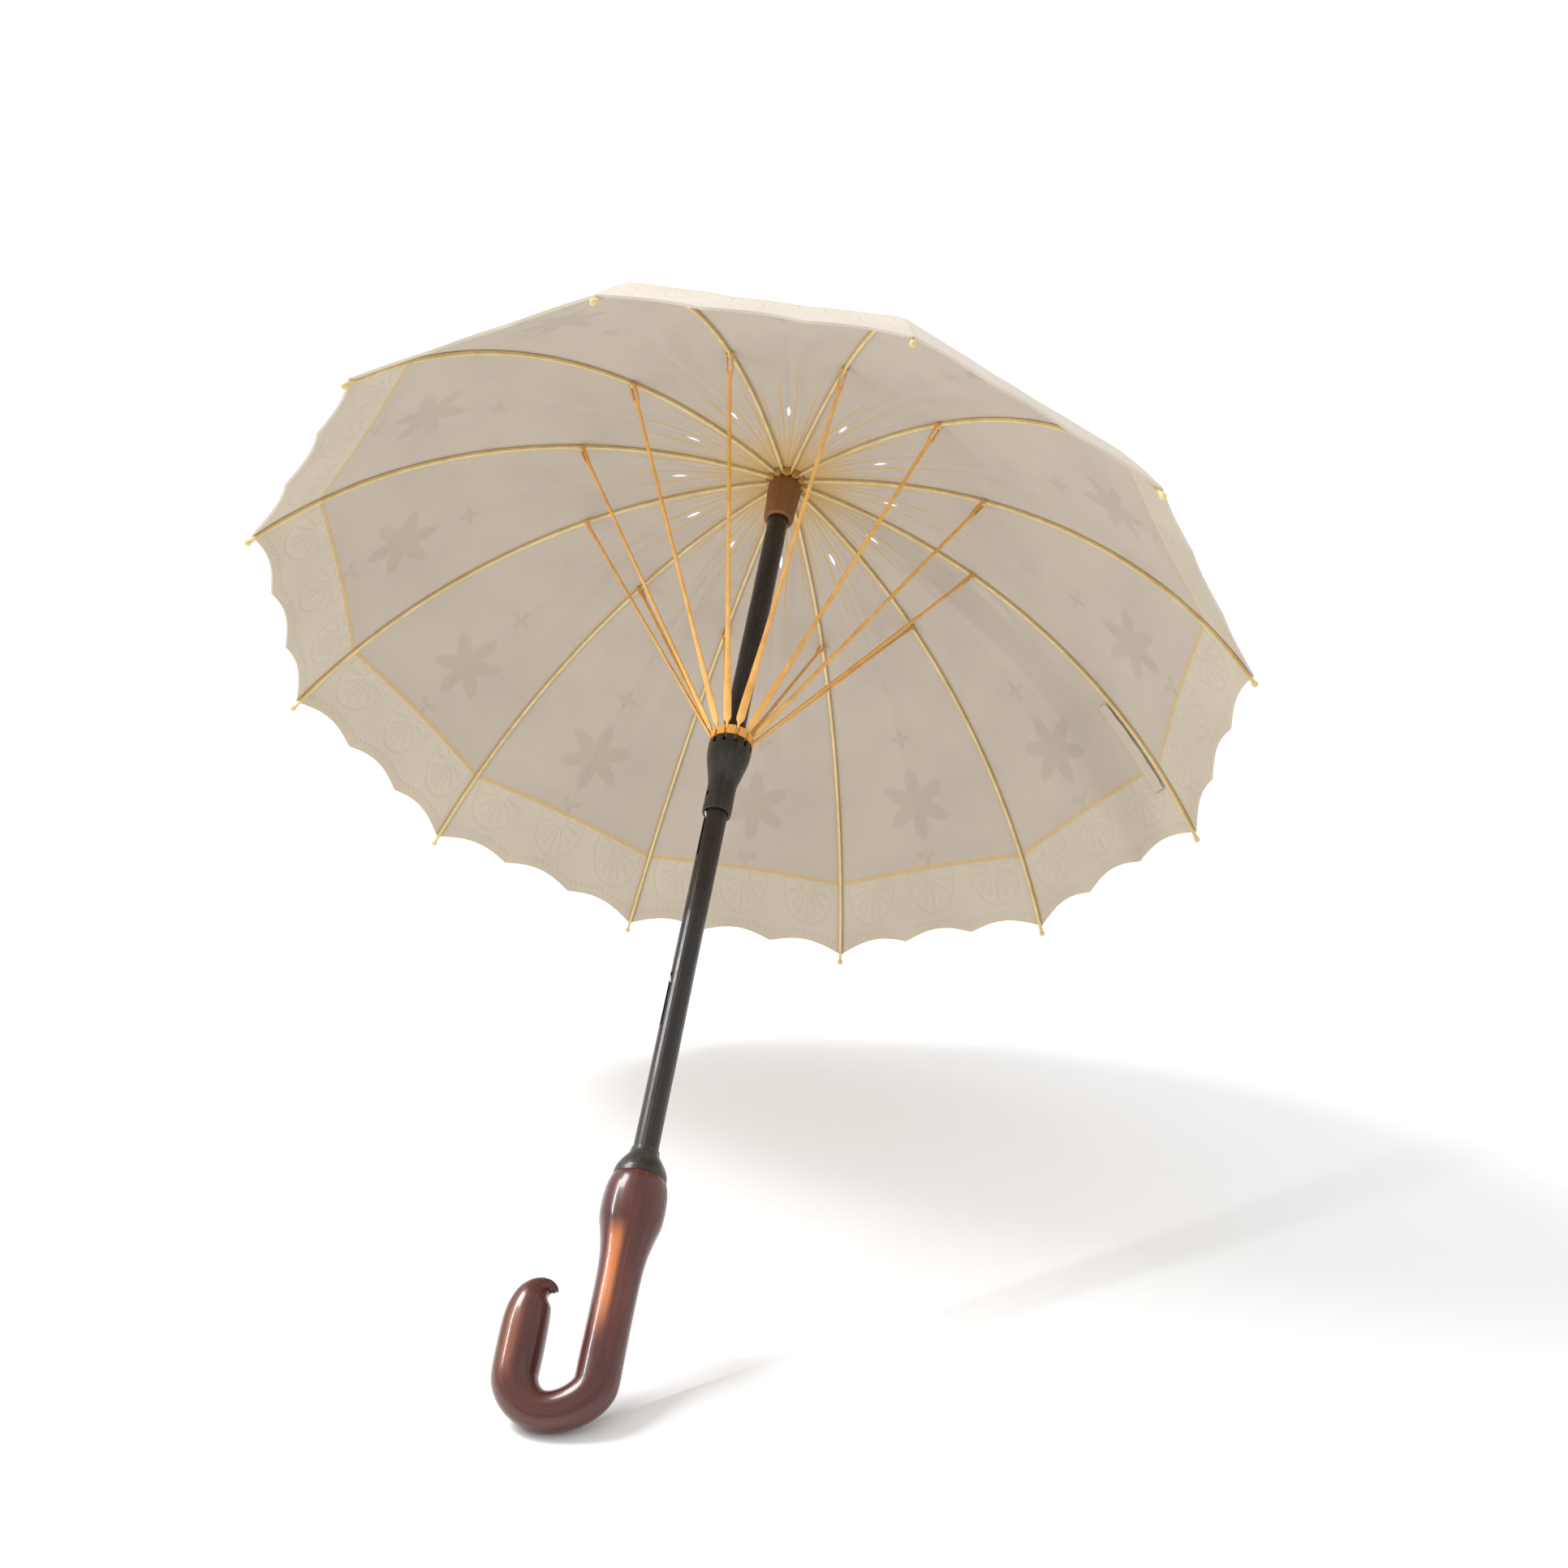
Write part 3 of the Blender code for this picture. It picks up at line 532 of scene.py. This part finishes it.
# ---- handle ------------------------------------------------------------------------------
def handle_path():
    """(x, z, radius) along the handle from its top to the curled tip."""
    rows = [(0, HANDLE_TOP_Z, 0.0170), (0, 0.0640, 0.0184), (0, 0.0580, 0.0195), (0, 0.0500, 0.0199)]
    rows += [(0, 0.0410, 0.0195), (0, 0.0330, 0.0176), (0, 0.0250, 0.0157), (0, 0.0160, 0.0143)]
    rows += [(0, 0.0040, 0.0136), (0, -0.0120, 0.0134), (0, -0.0300, 0.0134), (0, -0.0450, 0.0135)]
    for k in range(13):
        turn = math.pi * k / 12.0
        lean = CROOK_LEAN * math.sin(turn) ** 2 * (1.0 + math.cos(turn)) / 2.0
        radius = 0.0118 + (0.0017 if k < 6 else 0.0023) * math.cos(turn) ** 2
        x = CROOK_R * (math.cos(turn) - 1.0) - lean
        rows.append((x, CROOK_Z - CROOK_DEPTH * math.sin(turn), radius))
    rows += [(-0.0487, -0.0460, 0.0143), (-0.0490, -0.0340, 0.0142), (-0.0490, -0.0260, 0.0138)]
    rows += [(-0.0486, -0.0200, 0.0130), (-0.0476, -0.0145, 0.0116), (-0.0456, -0.0103, 0.0096)]
    rows += [(-0.0428, -0.0076, 0.0072), (-0.0396, -0.0066, 0.0049), (-0.0368, -0.0072, 0.0030)]
    rows += [(-0.0352, -0.0083, 0.0017), (-0.0350, -0.0085, 0.0012)]
    return rows


def make_handle(mat):
    """Swept handle, with wood grain coordinates round it and along it."""
    rows = spline(handle_path(), 5)
    bm = bmesh.new()
    uv = bm.loops.layers.uv.new("grain")
    sides = 48
    rings, along = [], [0.0]
    for k, (x, z, radius) in enumerate(rows):
        before, after = rows[max(k - 1, 0)], rows[min(k + 1, len(rows) - 1)]
        tangent = Vector((after[0] - before[0], 0, after[1] - before[1])).normalized()
        side = tangent.cross(Vector((0, 1, 0)))
        if k:
            along.append(along[-1] + math.hypot(x - rows[k - 1][0], z - rows[k - 1][1]))
        ring = []
        for s in range(sides):
            turn = 2.0 * math.pi * s / sides
            spoke = math.cos(turn) * Vector((0, 1, 0)) + math.sin(turn) * side
            ring.append(bm.verts.new(Vector((x, 0, z)) + radius * spoke))
        rings.append(ring)
    for k, (lower, upper) in enumerate(zip(rings, rings[1:])):
        for s, face in enumerate(bridge(bm, lower, upper)):
            places = ((s, along[k]), (s + 1, along[k]), (s + 1, along[k + 1]), (s, along[k + 1]))
            for loop, (u, v) in zip(face.loops, places):
                loop[uv].uv = (u / sides * GRIP_GIRTH, v)
    for ring in (rings[0], rings[-1]):
        bm.faces.new(ring)
    obj = to_object("handle_look", bm, [mat], angle=50.0)
    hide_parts("handle")
    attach(obj, "stem")


# ---- turned parts --------------------------------------------------------------------------
def raised(profile, height):
    """The rounded profile, moved up; a third item of 1 keeps a corner sharp."""
    return rounded([(p[0], height + p[1], *p[2:]) for p in profile])


def make_stem(mats):
    """Collar, cup, cap and finial, from profiles of (radius, height above the foot, or from the cup's top)."""
    inner = SHAFT_R + GAP
    collar_height = COLLAR_TOP_Z - COLLAR_FOOT_Z
    collar = [(inner, 0.0, 1), (0.0170, 0.0, 1), (0.0165, 0.0040), (0.0147, 0.0085), (0.0118, 0.0130)]
    collar += [(0.0098, 0.0160), (0.0089, collar_height, 1), (inner, collar_height, 1)]
    turned("handle_collar_look", raised(collar, COLLAR_FOOT_Z), mats["dark"], "stem", ["handle_collar"])
    cup = [(inner, -0.0380, 1), (0.0100, -0.0380, 1), (0.0116, -0.0355), (0.0122, -0.0220)]
    cup += [(0.0132, -0.0080), (0.0132, -0.0035), (0.0119, 0.0, 1), (inner, 0.0, 1)]
    turned("notch_cup_look", raised(cup, CUP_TOP_Z), mats["cup"], "stem", ["notch_cup"])
    cap = [(inner, 0.0, 1), (0.0232, 0.0, 1), (0.0239, 0.0005), (0.0228, 0.0012), (0.0190, 0.0019)]
    cap += [(0.0150, 0.0027), (0.0128, 0.0040, 1), (inner, 0.0040, 1)]
    turned("top_cap_look", raised(cap, CAP_FOOT_Z), mats["cap"], "stem", ["top_cap"])
    finial = [(0, 0.0, 1), (0.0112, 0.0, 1), (0.0120, 0.0025), (0.0100, 0.0060), (0.0066, 0.0090)]
    finial += [(0.0056, 0.0130), (0.0066, 0.0170), (0.0062, 0.0240), (0.0046, 0.0360)]
    finial += [(0.0036, 0.0440), (0.0028, 0.0478), (0.0, 0.0490, 1)]
    turned("finial_look", raised(finial, FINIAL_FOOT_Z), mats["finial"], "stem", ["finial"], closed=False)


def slab(bm, low, high, turn):
    """Box between two corners, turned about Z."""
    made = bmesh.ops.create_cube(bm, size=1.0)["verts"]
    size, middle = Vector(high) - Vector(low), (Vector(high) + Vector(low)) / 2.0
    bmesh.ops.scale(bm, vec=size, verts=made)
    bmesh.ops.translate(bm, vec=middle, verts=made)
    bmesh.ops.rotate(bm, cent=(0, 0, 0), matrix=Matrix.Rotation(turn, 3, "Z"), verts=made)


def carve(obj, cutters):
    """Cut bodies out of a piece with exact booleans."""
    for bm in cutters:
        mesh = bpy.data.meshes.new("cutter")
        bm.to_mesh(mesh)
        bm.free()
        tool = bpy.data.objects.new("cutter", mesh)
        bpy.context.scene.collection.objects.link(tool)
        step = obj.modifiers.new("cut", "BOOLEAN")
        step.operation, step.solver, step.object = "DIFFERENCE", "EXACT", tool
        graph = bpy.context.evaluated_depsgraph_get()
        carved = bpy.data.meshes.new_from_object(obj.evaluated_get(graph))
        obj.modifiers.clear()
        obj.data = carved
        bpy.data.objects.remove(tool, do_unlink=True)
    soften(obj.data)


def runner_cuts():
    """Slots for the stretcher feet, the keyway inside and the window for the catch."""
    slots, keyway, gate = bmesh.new(), bmesh.new(), bmesh.new()
    slot = ((0.0105, -SLOT_HALF_W, FOOT_Z - 0.0098), (0.0200, SLOT_HALF_W, FOOT_Z - 0.0006))
    for k in range(RIBS):
        slab(slots, *slot, RIB_PHASE + k * STEP)
    inside, depth = 0.0060, SHAFT_R + GAP + KEYWAY_DEPTH
    slab(keyway, (inside, -KEYWAY_HALF_W, FOOT_Z - 0.1), (depth, KEYWAY_HALF_W, FOOT_Z + 0.1), CATCH_AZIMUTH)
    low, high = FOOT_Z + GATE[0], FOOT_Z + GATE[1]
    slab(gate, (inside, -KEYWAY_HALF_W, low), (0.0130, KEYWAY_HALF_W, high), CATCH_AZIMUTH)
    return [slots, keyway, gate]


def make_runner(mats):
    """Tube with a flared collar; heights are from the stretcher feet."""
    inner = SHAFT_R + GAP
    top = RUNNER_TOP
    body = [(inner, -RUNNER_LENGTH, 1), (0.0097, -RUNNER_LENGTH, 1), (0.0103, -0.0615), (0.0102, -0.0420)]
    body += [(0.0108, -0.0360), (0.0128, -0.0270), (0.0148, -0.0180), (0.0156, -0.0120)]
    body += [(0.0155, top - 0.0006), (0.0150, top, 1), (0.0100, top, 1)]
    body += [(0.0100, 0.0052, 1), (inner, 0.0052, 1)]
    profile = [(r, z + FOOT_Z) for r, z in rounded(body)]
    obj = turned("runner_look", profile, mats["dark"], "runner_set", ["runner"])
    carve(obj, runner_cuts())


# ---- ribs -----------------------------------------------------------------------------------
def arc_drop(radius):
    """How far the dome has fallen from its top at a radius."""
    return ARC_R - math.sqrt(ARC_R ** 2 - radius ** 2)


def rib_up(radius):
    """Outward direction of the dome."""
    lean = math.asin(min(radius, ARC_R * 0.99) / ARC_R)
    return Vector((math.sin(lean), 0.0, math.cos(lean)))


def on_rib(radius):
    """Point on the rib's centre line."""
    return Vector((radius, 0.0, PIVOT_Z + arc_drop(PIVOT_R) - arc_drop(radius)))


def cross_pin(bm, radius, half_width, centre, sides=20):
    """Short cylinder along Y."""
    rows = []
    for y in (-half_width, half_width):
        row = []
        for k in range(sides):
            turn = 2.0 * math.pi * k / sides
            spot = (centre.x + radius * math.cos(turn), centre.y + y, centre.z + radius * math.sin(turn))
            row.append(bm.verts.new(spot))
        rows.append(row)
    bridge(bm, rows[0], rows[1])
    bm.faces.new(rows[0])
    bm.faces.new(rows[1])


def rib_mesh():
    """Smooth rib with a rounded section, hub eye, knee boss and turned tip."""
    bm = bmesh.new()
    rings = []
    stations = 44
    for k in range(stations + 1):
        radius = PIVOT_R + 0.0012 + (CANOPY_R + 0.0030 - PIVOT_R) * k / stations
        centre, up = on_rib(radius), rib_up(radius)
        half_w = 0.0010 if k == 0 else RIB_HALF_W
        ring = []
        for s in range(12):
            turn = 2.0 * math.pi * (s + 0.5) / 12
            a, b = math.cos(turn), math.sin(turn)
            square = 1.0 / max(abs(a), abs(b)) * 0.55 + 0.45
            shift = Vector((0, a * half_w * square * 0.94, 0))
            ring.append(bm.verts.new(centre + shift + up * b * RIB_HALF_H * square * 0.94))
        rings.append(ring)
    capped(bm, rings)
    cross_pin(bm, 0.0021, 0.0010, on_rib(PIVOT_R))
    cross_pin(bm, 0.0022, RIB_HALF_W - 0.00005, on_rib(KNEE_R) - KNEE_DROP * rib_up(KNEE_R))
    tip = on_rib(CANOPY_R + 0.0045)
    ball = bmesh.ops.create_uvsphere(bm, u_segments=16, v_segments=10, radius=0.0023)
    bmesh.ops.translate(bm, vec=tip, verts=ball["verts"])
    return bm


def stretcher_sections(length):
    """(distance from the knee, half width, half height) from the fork to the foot."""
    from_knee = [(0.0118, 0.0022, 0.0013), (0.0132, 0.0024, 0.0015), (0.0150, 0.0019, 0.0015)]
    from_knee += [(0.0190, 0.0014, 0.0013), (length * 0.55, 0.0016, 0.0012)]
    from_foot = [(0.070, 0.0019, 0.0012), (0.040, 0.0026, 0.0012), (0.0240, 0.0031, 0.0012)]
    from_foot += [(0.0110, 0.0031, 0.0011), (0.0088, 0.0026, 0.0011), (0.0072, 0.0014, 0.0010)]
    from_foot += [(0.0060, 0.00095, 0.0010), (0.0, 0.00095, 0.0010)]
    return from_knee + [(length - back, wide, high) for back, wide, high in from_foot]


def capped(bm, rings):
    """Skin over a row of rings, closed at both ends."""
    for lower, upper in zip(rings, rings[1:]):
        bridge(bm, lower, upper)
    bm.faces.new(rings[0])
    bm.faces.new(rings[-1])


def stretcher_mesh():
    """Blade from its forked knee to its flat foot, widest just above the runner."""
    bm = bmesh.new()
    knee = on_rib(KNEE_R) - KNEE_DROP * rib_up(KNEE_R)
    foot = Vector((FOOT_R, 0.0, FOOT_Z))
    length = (foot - knee).length
    along = (foot - knee).normalized()
    across = Vector((0.0, 1.0, 0.0))
    over = along.cross(across)
    rings = []
    for distance, half_width, half_height in stretcher_sections(length):
        ring = []
        for s in range(16):
            turn = 2.0 * math.pi * s / 16
            shift = across * (half_width * math.cos(turn)) + over * (half_height * math.sin(turn))
            ring.append(bm.verts.new(knee + along * distance + shift))
        rings.append(ring)
    capped(bm, rings)
    corners = [(-0.4, -1.2), (0.4, -1.2), (0.5, -1.0), (0.5, 1.0)]
    corners += [(-a, -b) for a, b in corners]
    for side in (-1, 1):
        middle = knee + across * (side * FORK_HALF_GAP)
        tine = []
        for distance in (0.0, FORK_LENGTH):
            centre = middle + along * distance
            shifts = [across * (a * 0.001) + over * (b * 0.001) for a, b in corners]
            tine.append([bm.verts.new(centre + shift) for shift in shifts])
        capped(bm, tine)
        cross_pin(bm, 0.0019, 0.00048, middle)
    cross_pin(bm, 0.00062, 0.0028, knee, 12)
    cross_pin(bm, 0.0018, 0.00095, foot)
    return bm


def turned_copy(bm, azimuth):
    copy = bm.copy()
    bmesh.ops.rotate(copy, cent=(0, 0, 0), matrix=Matrix.Rotation(azimuth, 3, "Z"), verts=copy.verts)
    return copy


def around(stem, pattern, mat):
    """A copy of the pattern on each rib's azimuth, in place of the CAD piece."""
    for k in range(RIBS):
        node = "%s_%02d" % (stem, k + 1)
        obj = to_object(node + "_look", turned_copy(pattern, RIB_PHASE + k * STEP), [mat])
        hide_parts(node)
        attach(obj, node + "_set")
    pattern.free()


# ---- canopy ------------------------------------------------------------------------------------
def hem_reach(offset, lobes):
    """Share of the canopy radius that the cloth reaches at an angle from the rib; lobes adds the scallops."""
    middle = (HALF - offset) / HALF
    lobe = abs(math.sin(math.pi * offset / SCALLOP_STEP)) if lobes else 0.0
    return CLOTH_REACH - HEM_DIP * (1.0 - middle * middle) - SCALLOP * lobe


def ease(value, low, high):
    """Smooth step from 0 to 1."""
    t = min(max((value - low) / (high - low), 0.0), 1.0)
    return t * t * (3.0 - 2.0 * t)


def cloth_radius(share, offset):
    """Radius on the gore at a share of its length; the scallops grow only in the hem band."""
    plain = CANOPY_R * hem_reach(offset, False)
    full = CANOPY_R * hem_reach(offset, True)
    inner = CLOTH_INNER_R
    if share <= BAND_START:
        return inner + (plain - inner) * share
    start = inner + (plain - inner) * BAND_START
    return start + (full - start) * (share - BAND_START) / (1.0 - BAND_START)


def cloth_point(radius, offset, lift):
    """Point of the cloth, pulled straight between the ribs and hollowed, lift above the rib's centre line."""
    chord = math.cos(HALF) / math.cos(HALF - offset)
    hollow = math.sin(math.pi * min(offset / HALF, 1.0) / 2.0) ** 2
    hollow *= math.sin(math.pi * min(radius / CANOPY_R, 1.0))
    up = rib_up(radius)
    fold = math.sin(46.0 * offset + 2.5 * math.sin(31.0 * radius))
    lift = lift - (HOLLOW + FOLD * fold) * hollow
    out = radius * chord + up.x * lift
    height = PIVOT_Z + arc_drop(PIVOT_R) - arc_drop(radius) + up.z * lift
    return Vector((out * math.cos(offset), out * math.sin(offset), height))


def cloth_rows():
    """Shares of the gore's length, closer together at the seam and the edge."""
    panel = [BAND_START * k / 34.0 for k in range(34)]
    seam = [BAND_START - 0.004, BAND_START, BAND_START + 0.004]
    band = [BAND_START + 0.010 + (1.0 - BAND_START - 0.020) * k / 8.0 for k in range(9)]
    edge = [0.995, 1.0]
    return sorted(set(panel[:-1] + seam + band + edge))


def band_swell(share):
    """Extra thickness of the hem: a stitched cord at the seam, a doubled band and a corded edge."""
    cord = math.exp(-((share - BAND_START) / 0.0040) ** 2)
    edge = math.exp(-((share - 0.9965) / 0.0050) ** 2)
    return 0.00018 * ease(share, BAND_START - 0.002, BAND_START + 0.002) + 0.00055 * cord + 0.0006 * edge


def half_gore(name, side, azimuth, mats):
    """Two-sided cloth from the rib to the middle of the gore: panel and hem band, under and outer."""
    rows, columns = cloth_rows(), 18
    bm = bmesh.new()
    cloth_uv = bm.loops.layers.uv.new("cloth")
    lace_uv = bm.loops.layers.uv.new("lace")
    weight = bm.verts.layers.float.new("turn")
    grids = []
    for face_side in (0, 1):
        grid = []
        for share in rows:
            line = []
            for c in range(columns + 1):
                offset = HALF * c / columns
                radius = cloth_radius(share, offset)
                clear = ease(offset * radius, 0.0018, 0.0050)
                swell = band_swell(share)
                lift = CLOTH_LIFT[1] + swell if face_side else CLOTH_LIFT[0] - swell * clear
                shift = offset
                if c == 0:
                    shift = 0.00006 / radius
                if c == columns:
                    shift = HALF - 0.00004 / radius
                p = cloth_point(radius, shift, lift)
                p.y *= side
                vert = bm.verts.new(p)
                vert[weight] = offset / HALF
                flat = ((HALF - offset) * radius * side, radius_arc(radius))
                lace = (offset * side / SCALLOP_STEP, (share - BAND_START) / (1.0 - BAND_START))
                line.append((vert, flat, lace))
            grid.append(line)
        grids.append(grid)
    low, high = grids

    def quad(corners, slot):
        face = bm.faces.new([c[0] for c in corners])
        face.material_index = slot
        for loop, (_, flat, lace) in zip(face.loops, corners):
            loop[cloth_uv].uv = flat
            loop[lace_uv].uv = lace

    for r in range(len(rows) - 1):
        slot = 1 if rows[r] >= BAND_START - 0.0041 else 0
        for c in range(columns):
            for layer, grid in enumerate(grids):
                corners = (grid[r][c], grid[r][c + 1], grid[r + 1][c + 1], grid[r + 1][c])
                quad(corners, slot + 2 * layer)
        for c in (0, columns):
            quad((low[r][c], low[r + 1][c], high[r + 1][c], high[r][c]), slot)
    for r, slot in ((0, 0), (len(rows) - 1, 3)):
        for c in range(columns):
            quad((low[r][c], low[r][c + 1], high[r][c + 1], high[r][c]), slot)
    bmesh.ops.rotate(bm, cent=(0, 0, 0), matrix=Matrix.Rotation(azimuth, 3, "Z"), verts=bm.verts)
    return to_object(name, bm, mats, angle=60.0)


def radius_arc(radius):
    """Length along the rib from the axis."""
    return ARC_R * math.asin(min(radius / ARC_R, 0.999))


def gore_area():
    """Flat area of half a gore, by strips along the rib."""
    total, steps = 0.0, 60
    reach = CANOPY_R * 0.985 - CLOTH_INNER_R
    for k in range(steps):
        inner = CLOTH_INNER_R + reach * k / steps
        outer = CLOTH_INNER_R + reach * (k + 1) / steps
        total += (radius_arc(outer) - radius_arc(inner)) * (inner + outer) / 2.0 * math.sin(HALF)
    return total


def make_canopy(mats):
    """Two half gores to each rib, in place of the CAD gores."""
    area = gore_area()
    slots = [mats[key] for key in ("panel", "band", "outer", "edge")]
    for k in range(RIBS):
        tag = "%02d" % (k + 1)
        azimuth = RIB_PHASE + k * STEP
        for side, letter in ((1, "a"), (-1, "b")):
            node = "gore_%s_%s" % (tag, letter)
            obj = half_gore(node + "_cloth", side, azimuth, slots)
            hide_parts(node)
            turn = np.zeros(len(obj.data.vertices), np.float32)
            obj.data.attributes["turn"].data.foreach_get("value", turn)
            end = cloth_point(0.3, HALF, 0.0)
            end.y *= side
            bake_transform(obj)


def make_strap(mats):
    """Tie strap: a narrow folded ribbon beside the first rib."""
    bm = bmesh.new()
    uv = bm.loops.layers.uv.new("cloth")
    grids = []
    rows, columns = 26, 6
    for lift in (-0.0007, -0.0002):
        grid = []
        for r in range(rows + 1):
            radius = 0.286 + 0.053 * r / rows
            ripple = 0.00025 * math.sin(r * 0.9)
            line = []
            for c in range(columns + 1):
                offset = 0.0145 + 0.029 * c / columns
                line.append(bm.verts.new(cloth_point(radius, offset, lift + ripple)))
            grid.append(line)
        grids.append(grid)
    low, high = grids
    for r in range(rows):
        for c in range(columns):
            for grid in grids:
                bm.faces.new((grid[r][c], grid[r][c + 1], grid[r + 1][c + 1], grid[r + 1][c]))
        for c in (0, columns):
            bm.faces.new((low[r][c], low[r + 1][c], high[r + 1][c], high[r][c]))
    for r in (0, rows):
        for c in range(columns):
            bm.faces.new((low[r][c], low[r][c + 1], high[r][c + 1], high[r][c]))
    for face in bm.faces:
        for loop in face.loops:
            p = loop.vert.co
            loop[uv].uv = (p.y + 0.2, p.length)
    bmesh.ops.rotate(bm, cent=(0, 0, 0), matrix=Matrix.Rotation(RIB_PHASE, 3, "Z"), verts=bm.verts)
    obj = to_object("tie_strap_cloth", bm, [mats["strap"]], angle=60.0)
    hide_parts("tie_strap")
    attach(obj, "rib_01_set")


# ---- stage --------------------------------------------------------------------------------------
def make_floor():
    """Pale floor under the crook, seen only from its upper side."""
    touch = min((v.co.dot(UP) for v in bpy.data.objects["handle_look"].data.vertices))
    spin = UP.to_track_quat("Z", "Y").to_matrix().to_4x4()
    bm = bmesh.new()
    bmesh.ops.create_grid(bm, x_segments=1, y_segments=1, size=9.0)
    n = Nodes("floor_paint", 0.75)
    tone = n.noise(n.coords(), 3.0, 2.0)
    ground = n.mix(tone, (0.875, 0.875, 0.88), (0.895, 0.895, 0.895))
    x, y, _ = n.split(n.coords())
    away = n.math("SQRT", n.plus(n.times(x, x), n.times(y, y)))
    # Painted light: the floor turns white from 1.3 m out, making up for the key light's falloff so it meets
    # the white backdrop.
    n.colour(n.mix(n.ramp(away, 1.3, 2.6), ground, (1.0, 1.0, 1.0)))
    back = n.add("ShaderNodeNewGeometry").outputs["Backfacing"]
    clear = n.add("ShaderNodeBsdfTransparent")
    mix = n.add("ShaderNodeMixShader")
    n.put(back, mix.inputs[0])
    n.tree.links.new(n.shader.outputs[0], mix.inputs[1])
    n.tree.links.new(clear.outputs[0], mix.inputs[2])
    n.tree.links.new(mix.outputs[0], n.out.inputs[0])
    floor = to_object("floor", bm, [n.mat], smooth=False)
    floor.matrix_world = Matrix.Translation(UP * touch) @ spin


def area_light(name, spot, aim, size, power):
    """White rectangular light, out of the camera's sight."""
    data = bpy.data.lights.new(name, "AREA")
    data.shape = "RECTANGLE"
    data.size, data.size_y = size
    data.energy = power
    obj = bpy.data.objects.new(name, data)
    bpy.context.scene.collection.objects.link(obj)
    obj.location = spot
    obj.rotation_mode = "QUATERNION"
    obj.rotation_quaternion = (Vector(spot) - Vector(aim)).to_track_quat("Z", "Y")
    obj.visible_camera = False


def make_lights():
    """White surroundings, a soft key light, and a strip that glints on the handle."""
    world = bpy.data.worlds.new("studio")
    bpy.context.scene.world = world
    world.use_nodes = True
    world.node_tree.nodes["Background"].inputs[0].default_value = (1.0, 1.0, 1.0, 1.0)
    world.node_tree.nodes["Background"].inputs[1].default_value = 1.02
    bpy.context.scene.view_settings.view_transform = "Standard"
    aim = Vector((0, 0, 0.35))
    area_light("key", aim + SUN * 3.2, aim, (1.1, 1.1), 80.0)
    aim = Vector((-0.02, 0.0, -0.02))
    area_light("strip", aim + Vector((-0.36, -0.20, 0.20)), aim, (0.010, 0.30), 1.3)


def make_camera():
    """Camera at the fitted place."""
    data = bpy.data.cameras.new("camera")
    data.sensor_width = 36.0
    data.lens = 36.0 * FOCAL_PX / FRAME_PX
    data.clip_start, data.clip_end = 0.01, 60.0
    obj = bpy.data.objects.new("camera", data)
    bpy.context.scene.collection.objects.link(obj)
    basis = Matrix((RIGHT, -DOWN, -AHEAD)).transposed()
    obj.matrix_world = Matrix.Translation(CAM_POS) @ basis.to_4x4()
    bpy.context.scene.camera = obj


# ---- the scene ----------------------------------------------------------------------------------
def dress(node, mat):
    """Give a CAD piece its look."""
    obj = frame["nodes"][node]
    for slot in obj.material_slots:
        slot.material = mat
    soften(obj.data)


def main():
    cream = srgb(202, 191, 177)
    mats = {
        "panel": cotton("cream_cotton", cream, False),
        "band": cotton("lace_border", srgb(211, 201, 183), True),
        # Painted light: the outer side of the cloth and of its border are lit copies, painted lighter than the
        # same cloth underneath.
        "outer": cotton("outer_cotton_lit", srgb(214, 205, 192), False, 0.0),
        "edge": cotton("outer_border_lit", srgb(216, 207, 193), True, 0.22),
        "cap": plain_cloth("cap_cotton", cream),
        "strap": plain_cloth("strap_cotton", srgb(196, 184, 164)),
        "handle": handle_wood(),
        "finial": wood("finial_wood", srgb(42, 17, 13), srgb(84, 40, 29), 0.3, 0.6, (1, 1, 0.1)),
        "cup": wood("cup_wood", srgb(107, 66, 29), srgb(136, 88, 44), 0.5, 0.1, (1, 1, 0.12), streak=90.0),
        "hub": wood("hub_wood", srgb(176, 130, 56), srgb(202, 156, 80), 0.5, 0.05, streak=90.0),
        "rib": wood("rib_wood", srgb(206, 180, 122), srgb(228, 206, 152), 0.55, 0.05, streak=90.0),
        "stretcher": wood("stretcher_wood", srgb(210, 152, 72), srgb(235, 181, 96), 0.45, 0.15,
                          streak=90.0),
        "crown": wood("crown_wood", srgb(216, 146, 58), srgb(236, 172, 82), 0.45, 0.15, streak=90.0),
        "dark": lacquer("dark_lacquer", srgb(27, 24, 20), srgb(50, 46, 41), 0.34),
        "shaft": lacquer("shaft_lacquer", srgb(21, 15, 11), srgb(39, 31, 25), 0.30),
        "steel": metal("catch_steel", (0.62, 0.60, 0.56), 0.3),
    }
    make_handle(mats["handle"])
    make_stem(mats)
    make_runner(mats)
    around("rib", rib_mesh(), mats["rib"])
    around("stretcher", stretcher_mesh(), mats["stretcher"])
    dress("shaft", mats["shaft"])
    dress("rib_hub", mats["hub"])
    dress("runner_crown", mats["crown"])
    for node in ("top_catch", "bottom_catch"):
        dress(node, mats["steel"])
    make_canopy(mats)
    make_strap(mats)
    make_floor()
    make_lights()
    make_camera()


main()
